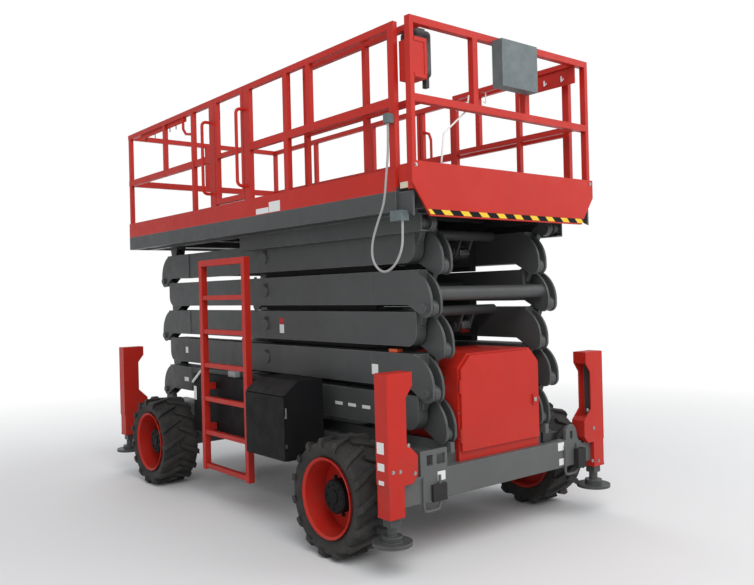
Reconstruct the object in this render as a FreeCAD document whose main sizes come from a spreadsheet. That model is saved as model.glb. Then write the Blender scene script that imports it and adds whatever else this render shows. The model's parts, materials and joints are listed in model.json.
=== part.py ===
"""Rough-terrain scissor lift with five crossed levels of arms, four outriggers and a roll-out deck.

Frame: millimetres, +X towards the end with the hazard-striped plate, +Y to the left, +Z up.
The origin is on the ground, below the centre of the stowed machine.
"""
import FreeCAD, Part
import Sketcher
import math
import os
import re

Vector = FreeCAD.Vector

doc = FreeCAD.newDocument("scissor_lift")
sheet = doc.addObject("Spreadsheet::Sheet", "Sizes")

# Driving dimensions: alias, value or formula, what it is.
SIZES = [
    ("wheel_x_front", 1580, "front axle from the origin"),
    ("wheel_x_rear", -1420, "rear axle from the origin"),
    ("tyre_radius", 420, "out to the tips of the lugs"),
    ("tyre_width", 370, "over the lugs' outer ends"),
    ("tread_radius", 388, "between the lugs"),
    ("shoulder_radius", 376, "where the sidewall meets the shoulder"),
    ("sidewall_in", 10, "sidewall inside the lugs' outer ends"),
    ("shoulder_wide", 50, "shoulder from the lugs' outer ends"),
    ("lugs", 15, "lugs on each half of a tyre"),
    ("lug_inner", 38, "width of a lug near the middle of the tread"),
    ("lug_outer", 48, "width of a lug at the shoulder"),
    ("lug_overrun", 20, "how far a lug passes the middle of the tread"),
    ("lug_foot", 352, "inner edge of a lug's outer end"),
    ("lug_bevel", 22, "bevelled outer corner of a lug"),
    ("track_outer", 1220, "outer face of the tyres from the centre line"),
    ("rim_radius", 285, "rim flange"),
    ("rim_width", 340, "rim between its flanges"),
    ("rim_wall", 14, "rim plate thickness"),
    ("rim_barrel", 262, "radius of the rim's barrel"),
    ("rim_disc_in", 30, "wheel disc inside the wheel's centre plane"),
    ("hub_radius", 120, "hub boss"),
    ("hub_out", 95, "hub boss outside the wheel's centre plane"),
    ("hub_in", 45, "hub boss inside the wheel's centre plane"),
    ("spindle_radius", 35, "stub axle"),
    ("running_gap", 0.3, "radial gap of a turning fit"),
    ("kingpin_y", "=track_outer - 290", "steering axis from the centre line"),
    ("kingpin_radius", 24, "steering pin"),
    ("beam_x_front", 2180, "front face of the front beam"),
    ("beam_x_rear", -2260, "rear face of the rear beam"),
    ("beam_depth", 85, "end beam along the machine"),
    ("beam_low", 435, "underside of the end beams"),
    ("beam_top", 640, "top of the end beams"),
    ("beam_half", 720, "half length of the end beams"),
    ("rail_inner", 434, "inner face of the chassis rails"),
    ("rail_outer", 620, "outer face of the chassis rails"),
    ("rail_low", 500, "underside of the chassis rails"),
    ("rail_high", 720, "top of the chassis rails"),
    ("axle_low", 345, "underside of the axle beams"),
    ("axle_half_x", 78, "half depth of the axle beams"),
    ("gearbox_radius", 110, "gear casing in the middle of an axle"),
    ("pin_x_front", 2080, "front pin line of the folded arms"),
    ("pin_x_rear", -2120, "rear pin line, which stays upright"),
    ("pin_low", 840, "height of the lowest pins"),
    ("level_pitch", 295, "rise of one folded level"),
    ("levels", 5, "crossed levels of arms"),
    ("arm_tall", 245, "height of an arm's box section"),
    ("outer_in", 583, "inner side of the outer arms' box"),
    ("outer_out", 672, "outer side of the outer arms' box"),
    ("inner_in", 472, "inner side of the inner arms' box"),
    ("inner_out", 556, "outer side of the inner arms' box"),
    ("plate_proud", 8, "clevis plate outside the box section"),
    ("plate_proud_in", 11, "outer arms' inner clevis plate inside the box"),
    ("plate_thick", 18, "clevis plate"),
    ("plate_run", 600, "length of the clevis plates"),
    ("plate_round", 235, "rounded top corner of a clevis plate"),
    ("heel_round", 100, "rounded lower corner of a box at its lug end"),
    ("boss_radius", 65, "clevis boss round its pin"),
    ("lug_radius", 60, "single lug round its pin"),
    ("lug_gap", 12, "clearance beside a lug in its clevis"),
    ("clevis_back", 75, "box end short of its clevis pin"),
    ("lug_back", 100, "box end short of its lug's pin"),
    ("pin_radius", 32, "arm pins"),
    ("pin_head", 22, "outer arms' pin heads outside the plates"),
    ("centre_radius", 35, "centre shaft"),
    ("centre_boss", 72, "ring round the centre shaft"),
    ("centre_head", 46, "centre shaft's head on the outer arms"),
    ("cross_radius", 50, "cross tubes of the outer arms"),
    ("cross_rise", 100, "cross tube above its clevis pin"),
    ("inner_cross_radius", 40, "cross tubes of the inner arms"),
    ("roller_radius", 50, "rollers at the sliding ends"),
    ("track_gap", 0.3, "roller to its track"),
    ("track_rear", -300, "rear end of the roller tracks"),
    ("barrel_radius", 70, "lift cylinder barrels"),
    ("barrel_y", 165, "lift cylinders beside the centre line"),
    ("rod_shows", 330, "folded lift cylinder from its barrel's end to its rod eye"),
    ("piston_rod_radius", 42, "lift cylinder rods"),
    ("piston_start", 1500, "start of a rod inside its barrel, from the barrel's eye"),
    ("eye_radius", 78, "eyes of the lift cylinders"),
    ("eye_width", 100, "width of the eyes"),
    ("base_eye_x", -1200, "barrel eye from the arms' centre"),
    ("base_eye_z", 46.5, "barrel eye above its arm's centre"),
    ("rod_eye_x", 1600, "rod eye from the arms' centre"),
    ("rod_eye_z", -17.5, "rod eye above its arm's centre"),
    ("deck_rear", -2380, "rear end of the platform"),
    ("deck_front", 2125, "front end of the main deck"),
    ("deck_half", 958, "half width of the platform"),
    ("deck_low", 2375, "underside of the platform frame"),
    ("lug_relief", 15, "frame members above the top lugs"),
    ("deck_under_floor", 2510, "top of the platform frame"),
    ("floor_thick", 25, "platform floor"),
    ("toe_top", 2660, "top of the toe boards"),
    ("toe_thick", 8, "toe boards"),
    ("guard_y", "=deck_half - 22", "centre of the guard rails"),
    ("guard_top", 3635, "top of the guard rails"),
    ("guard_bar", 48, "guard rail section"),
    ("mid_low", "=toe_top + (guard_top - toe_top) * 412 / 975", "underside of the mid rails"),
    ("mid_high", "=mid_low + 63", "top of the mid rails"),
    ("post_wide", 62, "post along the machine"),
    ("gate_rear", -430, "centre of the post behind the gate"),
    ("gate_front", 195, "centre of the post in front of the gate"),
    ("gate_post", 100, "width of the gate posts"),
    ("gate_gap", 8, "gap round the gate"),
    ("hinge_radius", 9, "hinge barrels"),
    ("nose_x", 2300, "front face of the roll-out deck's plate"),
    ("nose_thick", 14, "plate thickness"),
    ("nose_top", 2690, "top of the plate"),
    ("nose_low", 2335, "bottom edge of the plate"),
    ("nose_half", "=deck_half + 7", "half width of the plate"),
    ("nose_half_low", "=nose_half - 155", "half width at the plate's bottom edge"),
    ("nose_shoulder", 2550, "height where the plate begins to narrow"),
    ("slide_rear", 560, "rear end of the roll-out deck"),
    ("slide_half", "=deck_half - 90", "half width of the roll-out deck"),
    ("slide_gap", 10, "roll-out deck above the main floor"),
    ("hood_front", 2130, "front of the engine hood"),
    ("hood_rear", 1600, "rear of the engine hood"),
    ("hood_half", 432, "half width of the engine hood"),
    ("hood_low", 640, "underside of the engine hood"),
    ("hood_top", 1395, "top of the engine hood"),
    ("hood_corner", 95, "sloping top corners of the engine hood"),
    ("sheet_wall", 12, "wall of hoods and cabinets"),
    ("door_thick", 22, "hood and cabinet doors"),
    ("door_inset", 14, "hood door inside the hood's edge"),
    ("cabinet_in", 827, "inner face of the side cabinets"),
    ("cabinet_out", 1185, "outer face of the side cabinets"),
    ("cabinet_front", 1050, "front of the side cabinets"),
    ("cabinet_rear", 480, "rear of the deep part of the cabinets"),
    ("tray_rear", -700, "rear of the shallow part of the cabinets"),
    ("tray_out", 930, "outer face of the shallow part"),
    ("tray_low", 560, "underside of the shallow part"),
    ("tray_top", 1110, "top of the shallow part"),
    ("cabinet_low", 590, "underside of the cabinets"),
    ("cabinet_shoulder", 1080, "top of the cabinets' outer face"),
    ("cabinet_top", 1185, "top of the cabinets"),
    ("cabinet_slope", 130, "width of the cabinets' sloping edge"),
    ("leg_y", 1085, "outrigger leg from the centre line"),
    ("leg_half", 40, "half width of an outrigger leg"),
    ("leg_gap", 0.3, "leg in its sleeve"),
    ("sleeve_half", 65, "half width of the outrigger sleeve"),
    ("housing_depth", 120, "outrigger housing along the machine"),
    ("housing_top", 1320, "top of the outrigger housings"),
    ("housing_wall", 10, "side plates of the housings' open part"),
    ("sleeve_low", 385, "lower end of the sleeves"),
    ("pad_low", 210, "underside of the raised foot pads"),
    ("pad_radius", 133, "foot pads"),
    ("tie_inner", 680, "inner leg of the tie-down loops"),
    ("tie_outer", 830, "outer leg of the tie-down loops"),
    ("tie_low", 373, "lower bar of the tie-down loops"),
    ("tie_top", 600, "upper ends of the tie-down loops"),
    ("tie_radius", 10, "bar of the tie-down loops"),
    ("tie_bend", 35, "bends of the tie-down loops"),
    ("ladder_rear", -560, "rear side of the ladder"),
    ("ladder_front", 270, "front side of the ladder"),
    ("ladder_out", 1050, "outer face of the ladder"),
    ("ladder_deep", 55, "depth of the ladder's side rails"),
    ("ladder_bar", 55, "ladder side rail seen from the front"),
    ("ladder_low", 270, "bottom of the ladder"),
    ("ladder_top", 2170, "top of the ladder"),
    ("rung_low", 305, "lowest rung"),
    ("rung_pitch", 305, "rung spacing"),
    ("rung_tall", 40, "height of a rung"),
    ("cable_radius", 8, "control cable"),
]
for row, (alias, value, note) in enumerate(SIZES, start=1):
    sheet.set(f"A{row}", alias)
    sheet.set(f"B{row}", str(value))
    sheet.set(f"C{row}", note)
    sheet.setAlias(f"B{row}", alias)
doc.recompute()
ALIASES = {alias for alias, value, note in SIZES}


def size(alias):
    return float(sheet.get(alias))


def linked(text):
    """An expression of aliases with each alias looked up in the sheet."""
    return re.sub(r"[a-z_]+", lambda word: "Sizes." + word.group(0) if word.group(0) in ALIASES else word.group(0),
                  str(text))


def value_of(text):
    """The number that an expression of aliases has now."""
    return float(sheet.evalExpression(linked(text)))


# Building blocks. A span is a pair of expressions, low then high.

def block(name, x, y, z):
    """A box between three spans."""
    box = doc.addObject("Part::Box", name)
    for side, (low, high) in zip(("Length", "Width", "Height"), (x, y, z)):
        box.setExpression(side, linked(f"({high}) - ({low})"))
    for axis, (low, high) in zip("xyz", (x, y, z)):
        box.setExpression(f"Placement.Base.{axis}", linked(low))
    return box


TURNS = {
    "X": FreeCAD.Rotation(Vector(0, 1, 0), 90),
    "Y": FreeCAD.Rotation(Vector(1, 0, 0), -90),
    "Z": FreeCAD.Rotation(),
}


def round_bar(name, along, radius, span, across):
    """A cylinder along one axis. across holds its centre on the two other axes, in X, Y, Z order."""
    bar = doc.addObject("Part::Cylinder", name)
    bar.Placement = FreeCAD.Placement(Vector(), TURNS[along])
    bar.setExpression("Radius", linked(radius))
    bar.setExpression("Height", linked(f"({span[1]}) - ({span[0]})"))
    starts = dict(zip([axis for axis in "XYZ" if axis != along], across))
    starts[along] = span[0]
    for axis, start in starts.items():
        bar.setExpression(f"Placement.Base.{axis.lower()}", linked(start))
    return bar


def on_side(span, side):
    """A span across the machine, taken to the left (+1) or the right (-1) of the centre line."""
    low, high = span
    return (low, high) if side > 0 else (f"-({high})", f"-({low})")


def joined(label, pieces):
    fuse = doc.addObject("Part::MultiFuse", label)
    fuse.Label = label
    fuse.Shapes = pieces
    fuse.Refine = True
    return fuse


def gathered(label, pieces):
    """Like solids on one body that do not touch each other."""
    group = doc.addObject("Part::Compound", label)
    group.Label = label
    group.Links = pieces
    return group


def without(label, base, tool):
    cut = doc.addObject("Part::Cut", label)
    cut.Label = label
    cut.Base = base
    cut.Tool = tool
    return cut


def shaped(label, shape):
    feature = doc.addObject("Part::Feature", label)
    feature.Label = label
    feature.Shape = shape
    return feature


def origin_plane(body, role):
    return next(item for item in body.Origin.OriginFeatures if item.Role == role)


def outline_sketch(body, name, role, corners):
    """A closed outline whose corners are bound to expressions."""
    sketch = body.newObject("Sketcher::SketchObject", name)
    sketch.AttachmentSupport = [(origin_plane(body, role), "")]
    sketch.MapMode = "FlatFace"
    places = [(value_of(across), value_of(up)) for across, up in corners]
    for start, end in zip(places, places[1:] + places[:1]):
        sketch.addGeometry(Part.LineSegment(Vector(*start, 0), Vector(*end, 0)), False)
    count = len(corners)
    for index in range(count):
        sketch.addConstraint(Sketcher.Constraint("Coincident", index, 2, (index + 1) % count, 1))
    for index, (across, up) in enumerate(corners):
        for kind, expression in (("DistanceX", across), ("DistanceY", up)):
            number = sketch.addConstraint(Sketcher.Constraint(kind, -1, 1, index, 1, value_of(expression)))
            sketch.setExpression(f"Constraints[{number}]", linked(expression))
    return sketch


def padded_body(label, role, corners, length):
    body = doc.addObject("PartDesign::Body", label)
    body.Label = label
    sketch = outline_sketch(body, label + "_outline", role, corners)
    pad = body.newObject("PartDesign::Pad", label + "_pad")
    pad.Profile = sketch
    pad.setExpression("Length", linked(length))
    sketch.Visibility = False
    return body


def turned_body(label, corners):
    """A body of revolution about its own Y axis. Corners are radius and place along the axis."""
    body = doc.addObject("PartDesign::Body", label)
    body.Label = label
    sketch = outline_sketch(body, label + "_profile", "XY_Plane", corners)
    turn = body.newObject("PartDesign::Revolution", label + "_turn")
    turn.Profile = sketch
    turn.ReferenceAxis = (sketch, ["V_Axis"])
    turn.Angle = 360
    return body


def flat_plate(points, low, high, arcs=()):
    """A plate in the XZ plane between two places across the machine.
    points holds (x, z); a corner listed in arcs as (index, radius) is rounded."""
    rounded = dict(arcs)
    places = [Vector(x, low, z) for x, z in points]
    edges = []
    count = len(places)
    starts = []
    ends = []
    for index, corner in enumerate(places):
        before = places[index - 1] - corner
        after = places[(index + 1) % count] - corner
        before.normalize()
        after.normalize()
        if index in rounded:
            half = before.getAngle(after) / 2
            reach = rounded[index] / math.tan(half)
            middle = before + after
            middle.normalize()
            centre = corner + middle * (rounded[index] / math.sin(half))
            near = corner + before * reach
            far = corner + after * reach
            edges.append(Part.Arc(near, centre - middle * rounded[index], far).toShape())
            starts.append(near)
            ends.append(far)
        else:
            starts.append(corner)
            ends.append(corner)
    for index in range(count):
        start = ends[index]
        end = starts[(index + 1) % count]
        if start.distanceToPoint(end) > 1e-6:
            edges.append(Part.LineSegment(start, end).toShape())
    wire = Part.Wire(Part.__sortEdges__(edges))
    return Part.Face(wire).extrude(Vector(0, high - low, 0))


def across_bar(radius, x, z, low, high):
    return Part.makeCylinder(radius, high - low, Vector(x, low, z), Vector(0, 1, 0))


def mirrored(shape):
    return shape.mirror(Vector(), Vector(0, 1, 0))


def bent_tube(points, radius, bends):
    """A round tube along straight runs joined by tangent arcs."""
    edges = []
    start = points[0]
    for corner, after, bend in zip(points[1:-1], points[2:], bends):
        back = (start - corner).normalize()
        ahead = (after - corner).normalize()
        half = back.getAngle(ahead) / 2
        reach = bend / math.tan(half)
        near = corner + back * reach
        far = corner + ahead * reach
        middle = (back + ahead).normalize()
        top = corner + middle * (bend / math.sin(half) - bend)
        if (near - start).Length > 1e-6:
            edges.append(Part.LineSegment(start, near).toShape())
        edges.append(Part.Arc(near, top, far).toShape())
        start = far
    edges.append(Part.LineSegment(start, points[-1]).toShape())
    path = Part.Wire(edges)
    ring = Part.Wire(Part.makeCircle(radius, points[0], points[1] - points[0]))
    return path.makePipeShell([ring], True, False)


# Wheels: lugged tyre and dished rim, turning about the stub axles.

def faceted_ring(profile, facets):
    """A ring of flat facets about the Y axis. profile holds radius and place along the axis."""
    def corner(index, step):
        radius, along = profile[index % len(profile)]
        turn = 2 * math.pi * step / facets
        return Vector(radius * math.sin(turn), along, radius * math.cos(turn))

    faces = []
    for step in range(facets):
        for index in range(len(profile)):
            loop = [corner(index, step), corner(index + 1, step), corner(index + 1, step + 1), corner(index, step + 1)]
            faces.append(Part.Face(Part.makePolygon(loop + loop[:1])))
    return Part.makeSolid(Part.makeShell(faces))


def tread_lug():
    """One slanted lug at the top of the tyre's left half, its flat top tilted by no turn of the wheel.
    The corners of all the lugs share the circle evenly, so the tyre stands on two of them."""
    pitch_turn = 2 * math.pi / size("lugs")
    top = size("tyre_radius") * math.cos(pitch_turn * 3 / 8) / math.cos(pitch_turn / 8)
    reach = top * math.tan(pitch_turn * 3 / 8)
    width = size("tyre_width")
    inner_end = width / 2 - size("lug_overrun")
    bevel = size("lug_bevel")
    foot = size("lug_foot")
    slope = (2 * reach - size("lug_inner")) / (width - bevel - inner_end)
    outer_reach = reach + slope * bevel
    outline = [(-reach, inner_end), (-reach + size("lug_inner"), inner_end), (outer_reach, width),
               (outer_reach - size("lug_outer"), width)]
    loop = [Vector(around, along, foot) for around, along in outline]
    lug = Part.Face(Part.makePolygon(loop + loop[:1])).extrude(Vector(0, 0, top - foot))
    corner = [Vector(-2 * reach, width - bevel, top), Vector(-2 * reach, width + bevel, top),
              Vector(-2 * reach, width + bevel, top - 2 * bevel)]
    return lug.cut(Part.Face(Part.makePolygon(corner + corner[:1])).extrude(Vector(4 * reach, 0, 0)))


def lugged_tyre():
    """Profile from the bead on one side over the tread to the other. Its lugs point to the middle."""
    width = size("tyre_width")
    facets = int(2 * size("lugs"))
    seat = (size("rim_barrel") + size("rim_wall") + turning_gap) / math.cos(math.pi / facets)
    half_profile = [(seat, 42), (size("shoulder_radius"), size("sidewall_in")),
                    (size("tread_radius"), size("shoulder_wide"))]
    profile = half_profile + [(radius, width - along) for radius, along in reversed(half_profile)]
    left = tread_lug()
    right = left.mirror(Vector(0, width / 2, 0), Vector(0, 1, 0))
    lugs = []
    for number in range(facets):
        lug = (right if number % 2 else left).copy()
        lug.rotate(Vector(), Vector(0, 1, 0), 360 * number / facets)
        lugs.append(lug)
    return faceted_ring(profile, facets).fuse(lugs).removeSplitter()


turning_gap = size("running_gap")
tyre_shape = lugged_tyre()


def build_wheel(name, wheel_x, side):
    """The rim's profile is radius and place across the wheel, from its inner flange outwards."""
    tyre = shaped("tyre_" + name, tyre_shape)
    rim = turned_body("rim_" + name, [
        ("spindle_radius + running_gap", "rim_width / 2 - hub_in"),
        ("hub_radius", "rim_width / 2 - hub_in"),
        ("hub_radius", "rim_width / 2 - rim_disc_in - rim_wall"),
        ("rim_barrel", "rim_width / 2 - rim_disc_in - rim_wall"),
        ("rim_barrel", "rim_wall"),
        ("rim_radius - 4", "0"),
        ("rim_radius", "6"),
        ("rim_barrel + rim_wall", "rim_wall + 9"),
        ("rim_barrel + rim_wall", "rim_width - rim_wall - 9"),
        ("rim_radius", "rim_width - 6"),
        ("rim_radius - 4", "rim_width"),
        ("rim_barrel", "rim_width - rim_wall"),
        ("rim_barrel", "rim_width / 2 - rim_disc_in"),
        ("hub_radius", "rim_width / 2 - rim_disc_in"),
        ("hub_radius", "rim_width / 2 + hub_out - 12"),
        ("hub_radius - 12", "rim_width / 2 + hub_out"),
        ("spindle_radius + running_gap", "rim_width / 2 + hub_out"),
    ])
    rim_start = "(track_outer - tyre_width / 2 - rim_width / 2)"
    if side > 0:
        starts = ((tyre, "track_outer - tyre_width"), (rim, rim_start))
    else:
        rim.Placement = FreeCAD.Placement(Vector(), FreeCAD.Rotation(Vector(0, 0, 1), 180))
        starts = ((tyre, "-track_outer"), (rim, f"-{rim_start}"))
    for piece, start in starts:
        piece.setExpression("Placement.Base.x", linked(wheel_x))
        piece.setExpression("Placement.Base.y", linked(start))
        piece.setExpression("Placement.Base.z", linked("tyre_radius"))
    return [tyre, rim]


def stub_axle(name, wheel_x, side, inner_end):
    """The spindle that the hub turns on, from inner_end out to just short of the hub's outer face."""
    outer_end = "track_outer - tyre_width / 2 + hub_out - 20"
    return round_bar(name, "Y", "spindle_radius", on_side((inner_end, outer_end), side), (wheel_x, "tyre_radius"))


WHEELS = [
    ("front_left", "wheel_x_front", 1),
    ("front_right", "wheel_x_front", -1),
    ("rear_left", "wheel_x_rear", 1),
    ("rear_right", "wheel_x_rear", -1),
]
nodes = []
for name, wheel_x, side in WHEELS:
    nodes += build_wheel(name, wheel_x, side)


# Axles. The front beam ends in forked ears that hold the steering knuckles.

def build_front_axle():
    pieces = [
        block("front_beam", ("wheel_x_front - axle_half_x", "wheel_x_front + axle_half_x"),
              ("-(kingpin_y - 95)", "kingpin_y - 95"), ("axle_low", "rail_low")),
        round_bar("front_gearbox", "X", "gearbox_radius", ("wheel_x_front - 150", "wheel_x_front + 150"),
                  ("0", "rail_low - gearbox_radius - 2")),
    ]
    for side, word in ((1, "left"), (-1, "right")):
        for level, low in (("lower", "tyre_radius - 130"), ("upper", "tyre_radius + 105")):
            pieces.append(block(f"fork_{level}_{word}", ("wheel_x_front - 48", "wheel_x_front + 48"),
                                on_side(("kingpin_y - 120", "kingpin_y + 34"), side), (low, f"{low} + 25")))
        pieces.append(block(f"fork_back_{word}", ("wheel_x_front - 48", "wheel_x_front + 48"),
                            on_side(("kingpin_y - 120", "kingpin_y - 85"), side),
                            ("tyre_radius - 130", "tyre_radius + 130")))
    axle = joined("front_axle_solid", pieces)
    holes = [round_bar(f"kingpin_hole_{word}", "Z", "kingpin_radius + running_gap",
                       ("tyre_radius - 200", "tyre_radius + 200"), ("wheel_x_front", f"{sign} * kingpin_y"))
             for word, sign in (("left", "1"), ("right", "-1"))]
    return without("front_axle", axle, gathered("kingpin_holes", holes))


def build_rear_axle():
    pieces = [
        block("rear_beam", ("wheel_x_rear - axle_half_x", "wheel_x_rear + axle_half_x"),
              ("-(kingpin_y - 60)", "kingpin_y - 60"), ("axle_low", "rail_low")),
        round_bar("rear_gearbox", "X", "gearbox_radius", ("wheel_x_rear - 150", "wheel_x_rear + 150"),
                  ("0", "rail_low - gearbox_radius - 2")),
    ]
    for side, word in ((1, "left"), (-1, "right")):
        pieces.append(round_bar(f"hub_carrier_{word}", "Y", "80",
                                on_side(("kingpin_y - 100", "track_outer - tyre_width / 2 - hub_in - 6"), side),
                                ("wheel_x_rear", "tyre_radius")))
        pieces.append(stub_axle(f"rear_spindle_{word}", "wheel_x_rear", side, "kingpin_y - 60"))
    return joined("rear_axle", pieces)


def build_knuckle(word, side):
    pieces = [
        block(f"knuckle_block_{word}", ("wheel_x_front - 44", "wheel_x_front + 44"),
              on_side(("kingpin_y - 42", "kingpin_y + 50"), side), ("tyre_radius - 104", "tyre_radius + 104")),
        round_bar(f"kingpin_{word}", "Z", "kingpin_radius", ("tyre_radius - 140", "tyre_radius + 140"),
                  ("wheel_x_front", f"{side} * kingpin_y")),
        stub_axle(f"front_spindle_{word}", "wheel_x_front", side, "kingpin_y"),
    ]
    return joined(f"knuckle_{word}", pieces)


nodes += [build_front_axle(), build_rear_axle(), build_knuckle("left", 1), build_knuckle("right", -1)]


# Chassis: two rails, end beams with outrigger brackets, roller tracks and pivot lugs.

# Cross members: name, centre along the machine, top.
CROSS_MEMBERS = [
    ("rear", "wheel_x_rear", "rail_high - 60"),
    ("rear_mid", "-650", "rail_high - 60"),
    ("front_mid", "550", "rail_high - 60"),
    ("front", "hood_rear + 40", "hood_low"),
]


# Seen along the machine: a plate that stands on the beam's end, with an oblong eye.
CORNER_LUG = [("700", "600"), ("885", "600"), ("850", "648"), ("835", "715"), ("805", "752"), ("745", "752"),
              ("708", "720")]


def corner_lug(name, low, high, side):
    sign = "" if side > 0 else "-"
    lug = padded_body(f"corner_lug_{name}", "YZ_Plane", [(f"{sign}{across}", up) for across, up in CORNER_LUG],
                      f"({high}) - ({low})")
    lug.setExpression("Placement.Base.x", linked(low))
    eye = [block(f"eye_middle_{name}", (f"{low} - 5", f"{high} + 5"), on_side(("757", "793"), side), ("655", "690"))]
    for end, height in (("low", "655"), ("high", "690")):
        eye.append(round_bar(f"eye_{end}_{name}", "X", "18", (f"{low} - 5", f"{high} + 5"),
                             (f"{sign}775", height)))
    return without(f"corner_lug_eyed_{name}", lug, joined(f"lug_eye_{name}", eye))


def corner_bracket(name, low, high, side):
    """A plate with two rectangular openings above the beam's end."""
    plate_body = block(f"corner_bracket_{name}", (low, high), on_side(("600", "845"), side), ("600", "775"))
    holes = [block(f"bracket_hole_{name}_{number}", (f"{low} - 5", f"{high} + 5"), on_side(span, side), ("672", "744"))
             for number, span in enumerate((("620", "698"), ("733", "790")))]
    return without(f"corner_bracket_open_{name}", plate_body, joined(f"bracket_holes_{name}", holes))


def tie_loop(side):
    """A round bar bent into a loop that hangs on the front beam."""
    front = size("beam_x_front") + 8
    legs = [side * size("tie_inner"), side * size("tie_outer")]
    path = [Vector(front, legs[0], size("tie_top")), Vector(front, legs[0], size("tie_low")),
            Vector(front, legs[1], size("tie_low")), Vector(front, legs[1], size("tie_top"))]
    return bent_tube(path, size("tie_radius"), [size("tie_bend")] * 2)


def build_chassis():
    pieces = []
    rail_start = "beam_x_rear + beam_depth"
    rail_end = "beam_x_front - beam_depth"
    for side, word in ((1, "left"), (-1, "right")):
        pieces.append(block(f"rail_{word}", (rail_start, rail_end), on_side(("rail_inner", "rail_outer"), side),
                            ("rail_low", "rail_high")))
        pieces.append(block(f"track_{word}", ("track_rear", "pin_x_front + 70"),
                            on_side(("inner_in + lug_gap + 12", "inner_out - lug_gap - 12"), side),
                            ("rail_high", "pin_low - roller_radius - track_gap")))
        for place, start in (("rear", "tray_rear + 150"), ("middle", "tray_rear + 700"), ("front", "cabinet_rear + 250")):
            pieces.append(block(f"cabinet_arm_{place}_{word}", (start, f"{start} + 90"),
                                on_side(("rail_outer", "cabinet_in"), side), ("rail_low + 70", "rail_low + 160")))
        for end, low, high in (("front", rail_end, "beam_x_front"), ("rear", "beam_x_rear", rail_start)):
            pieces.append(block(f"bracket_upper_{end}_{word}", (low, high),
                                on_side(("beam_half - 20", "leg_y - 185"), side), ("590", "612")))
            pieces.append(block(f"bracket_lower_{end}_{word}", (low, high),
                                on_side(("beam_half", "leg_y - sleeve_half"), side), ("beam_low", "590")))
    for end, low, high in (("front", rail_end, "beam_x_front"), ("rear", "beam_x_rear", rail_start)):
        pieces.append(block(f"end_beam_{end}", (low, high), ("-beam_half", "beam_half"), ("beam_low", "beam_top")))
    for place, middle, top in CROSS_MEMBERS:
        pieces.append(block(f"cross_member_{place}", (f"{middle} - 70", f"{middle} + 70"),
                            ("-rail_inner", "rail_inner"), ("rail_low", top)))
    pieces.append(corner_lug("front_left", "beam_x_front - 25", "beam_x_front", 1))
    pieces.append(corner_lug("rear_left", "beam_x_rear", "beam_x_rear + 25", 1))
    pieces.append(corner_lug("rear_right", "beam_x_rear", "beam_x_rear + 25", -1))
    pieces.append(corner_bracket("front_right", "beam_x_front - 25", "beam_x_front", -1))
    pieces += [shaped("tie_loop_left", tie_loop(1)), shaped("tie_loop_right", tie_loop(-1))]
    frame = joined("chassis_welded", pieces)
    lug_in = size("outer_in") - size("plate_proud_in") + size("plate_thick") + size("lug_gap")
    lug_out = size("outer_out") + size("plate_proud") - size("plate_thick") - size("lug_gap")
    pin_x = size("pin_x_rear")
    pin_z = size("pin_low")
    foot = size("rail_high") - 110
    reach = size("lug_radius")
    lug = flat_plate([(pin_x - 110, foot), (pin_x + 110, foot), (pin_x + reach, pin_z), (pin_x - reach, pin_z)],
                     lug_in, lug_out)
    lug = lug.fuse(across_bar(reach, pin_x, pin_z, lug_in, lug_out))
    lug = lug.cut(across_bar(size("pin_radius") + size("running_gap"), pin_x, pin_z, lug_in - 1, lug_out + 1))
    lugs = shaped("chassis_pivot_lugs", Part.Compound([lug, mirrored(lug)]))
    return joined("chassis_frame", [frame, lugs])


nodes.append(build_chassis())


# Engine hood between the folded arms, with its door on the front face.

def hood_outline(inset):
    half = f"(hood_half - {inset})"
    top = f"(hood_top - {inset})"
    return [
        (f"-{half}", f"hood_low + {inset}"),
        (half, f"hood_low + {inset}"),
        (half, f"{top} - hood_corner"),
        (f"{half} - hood_corner", top),
        (f"-{half} + hood_corner", top),
        (f"-{half}", f"{top} - hood_corner"),
    ]


def build_hood():
    outside = padded_body("hood_outside", "YZ_Plane", hood_outline("0"), "hood_front - hood_rear")
    outside.setExpression("Placement.Base.x", linked("hood_rear"))
    inside = padded_body("hood_inside", "YZ_Plane", hood_outline("sheet_wall"),
                         "hood_front - hood_rear - 2 * sheet_wall")
    inside.setExpression("Placement.Base.x", linked("hood_rear + sheet_wall"))
    shell = without("hood_shell", outside, inside)
    doorway = block("hood_doorway", ("hood_front - 2 * sheet_wall", "hood_front + sheet_wall"),
                    ("-(hood_half - 60)", "hood_half - 60"), ("hood_low + 90", "hood_top - hood_corner - 10"))
    hood = without("engine_hood", shell, doorway)
    corners = hood_outline("door_inset")
    corners[:2] = [(across, "hood_low + 70") for across, up in corners[:2]]
    panel = padded_body("hood_door_panel", "YZ_Plane", corners, "door_thick - 0.5")
    panel.setExpression("Placement.Base.x", linked("hood_front + 0.5"))
    door = joined("hood_door", [
        panel,
        block("hood_latch", ("hood_front + door_thick", "hood_front + door_thick + 12"),
              ("hood_half - 92", "hood_half - 52"), ("960", "1040")),
        round_bar("hood_hinge_low", "Z", "hinge_radius", ("hood_low + 130", "hood_low + 230"),
                  ("hood_front + 12", "-(hood_half - door_inset + 2)")),
        round_bar("hood_hinge_high", "Z", "hinge_radius", ("hood_top - 280", "hood_top - 180"),
                  ("hood_front + 12", "-(hood_half - door_inset + 2)")),
    ])
    return [hood, door]


nodes += build_hood()


# Side cabinets: a deep front part with a door on its outer face and a shallow tray behind the ladder.

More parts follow.
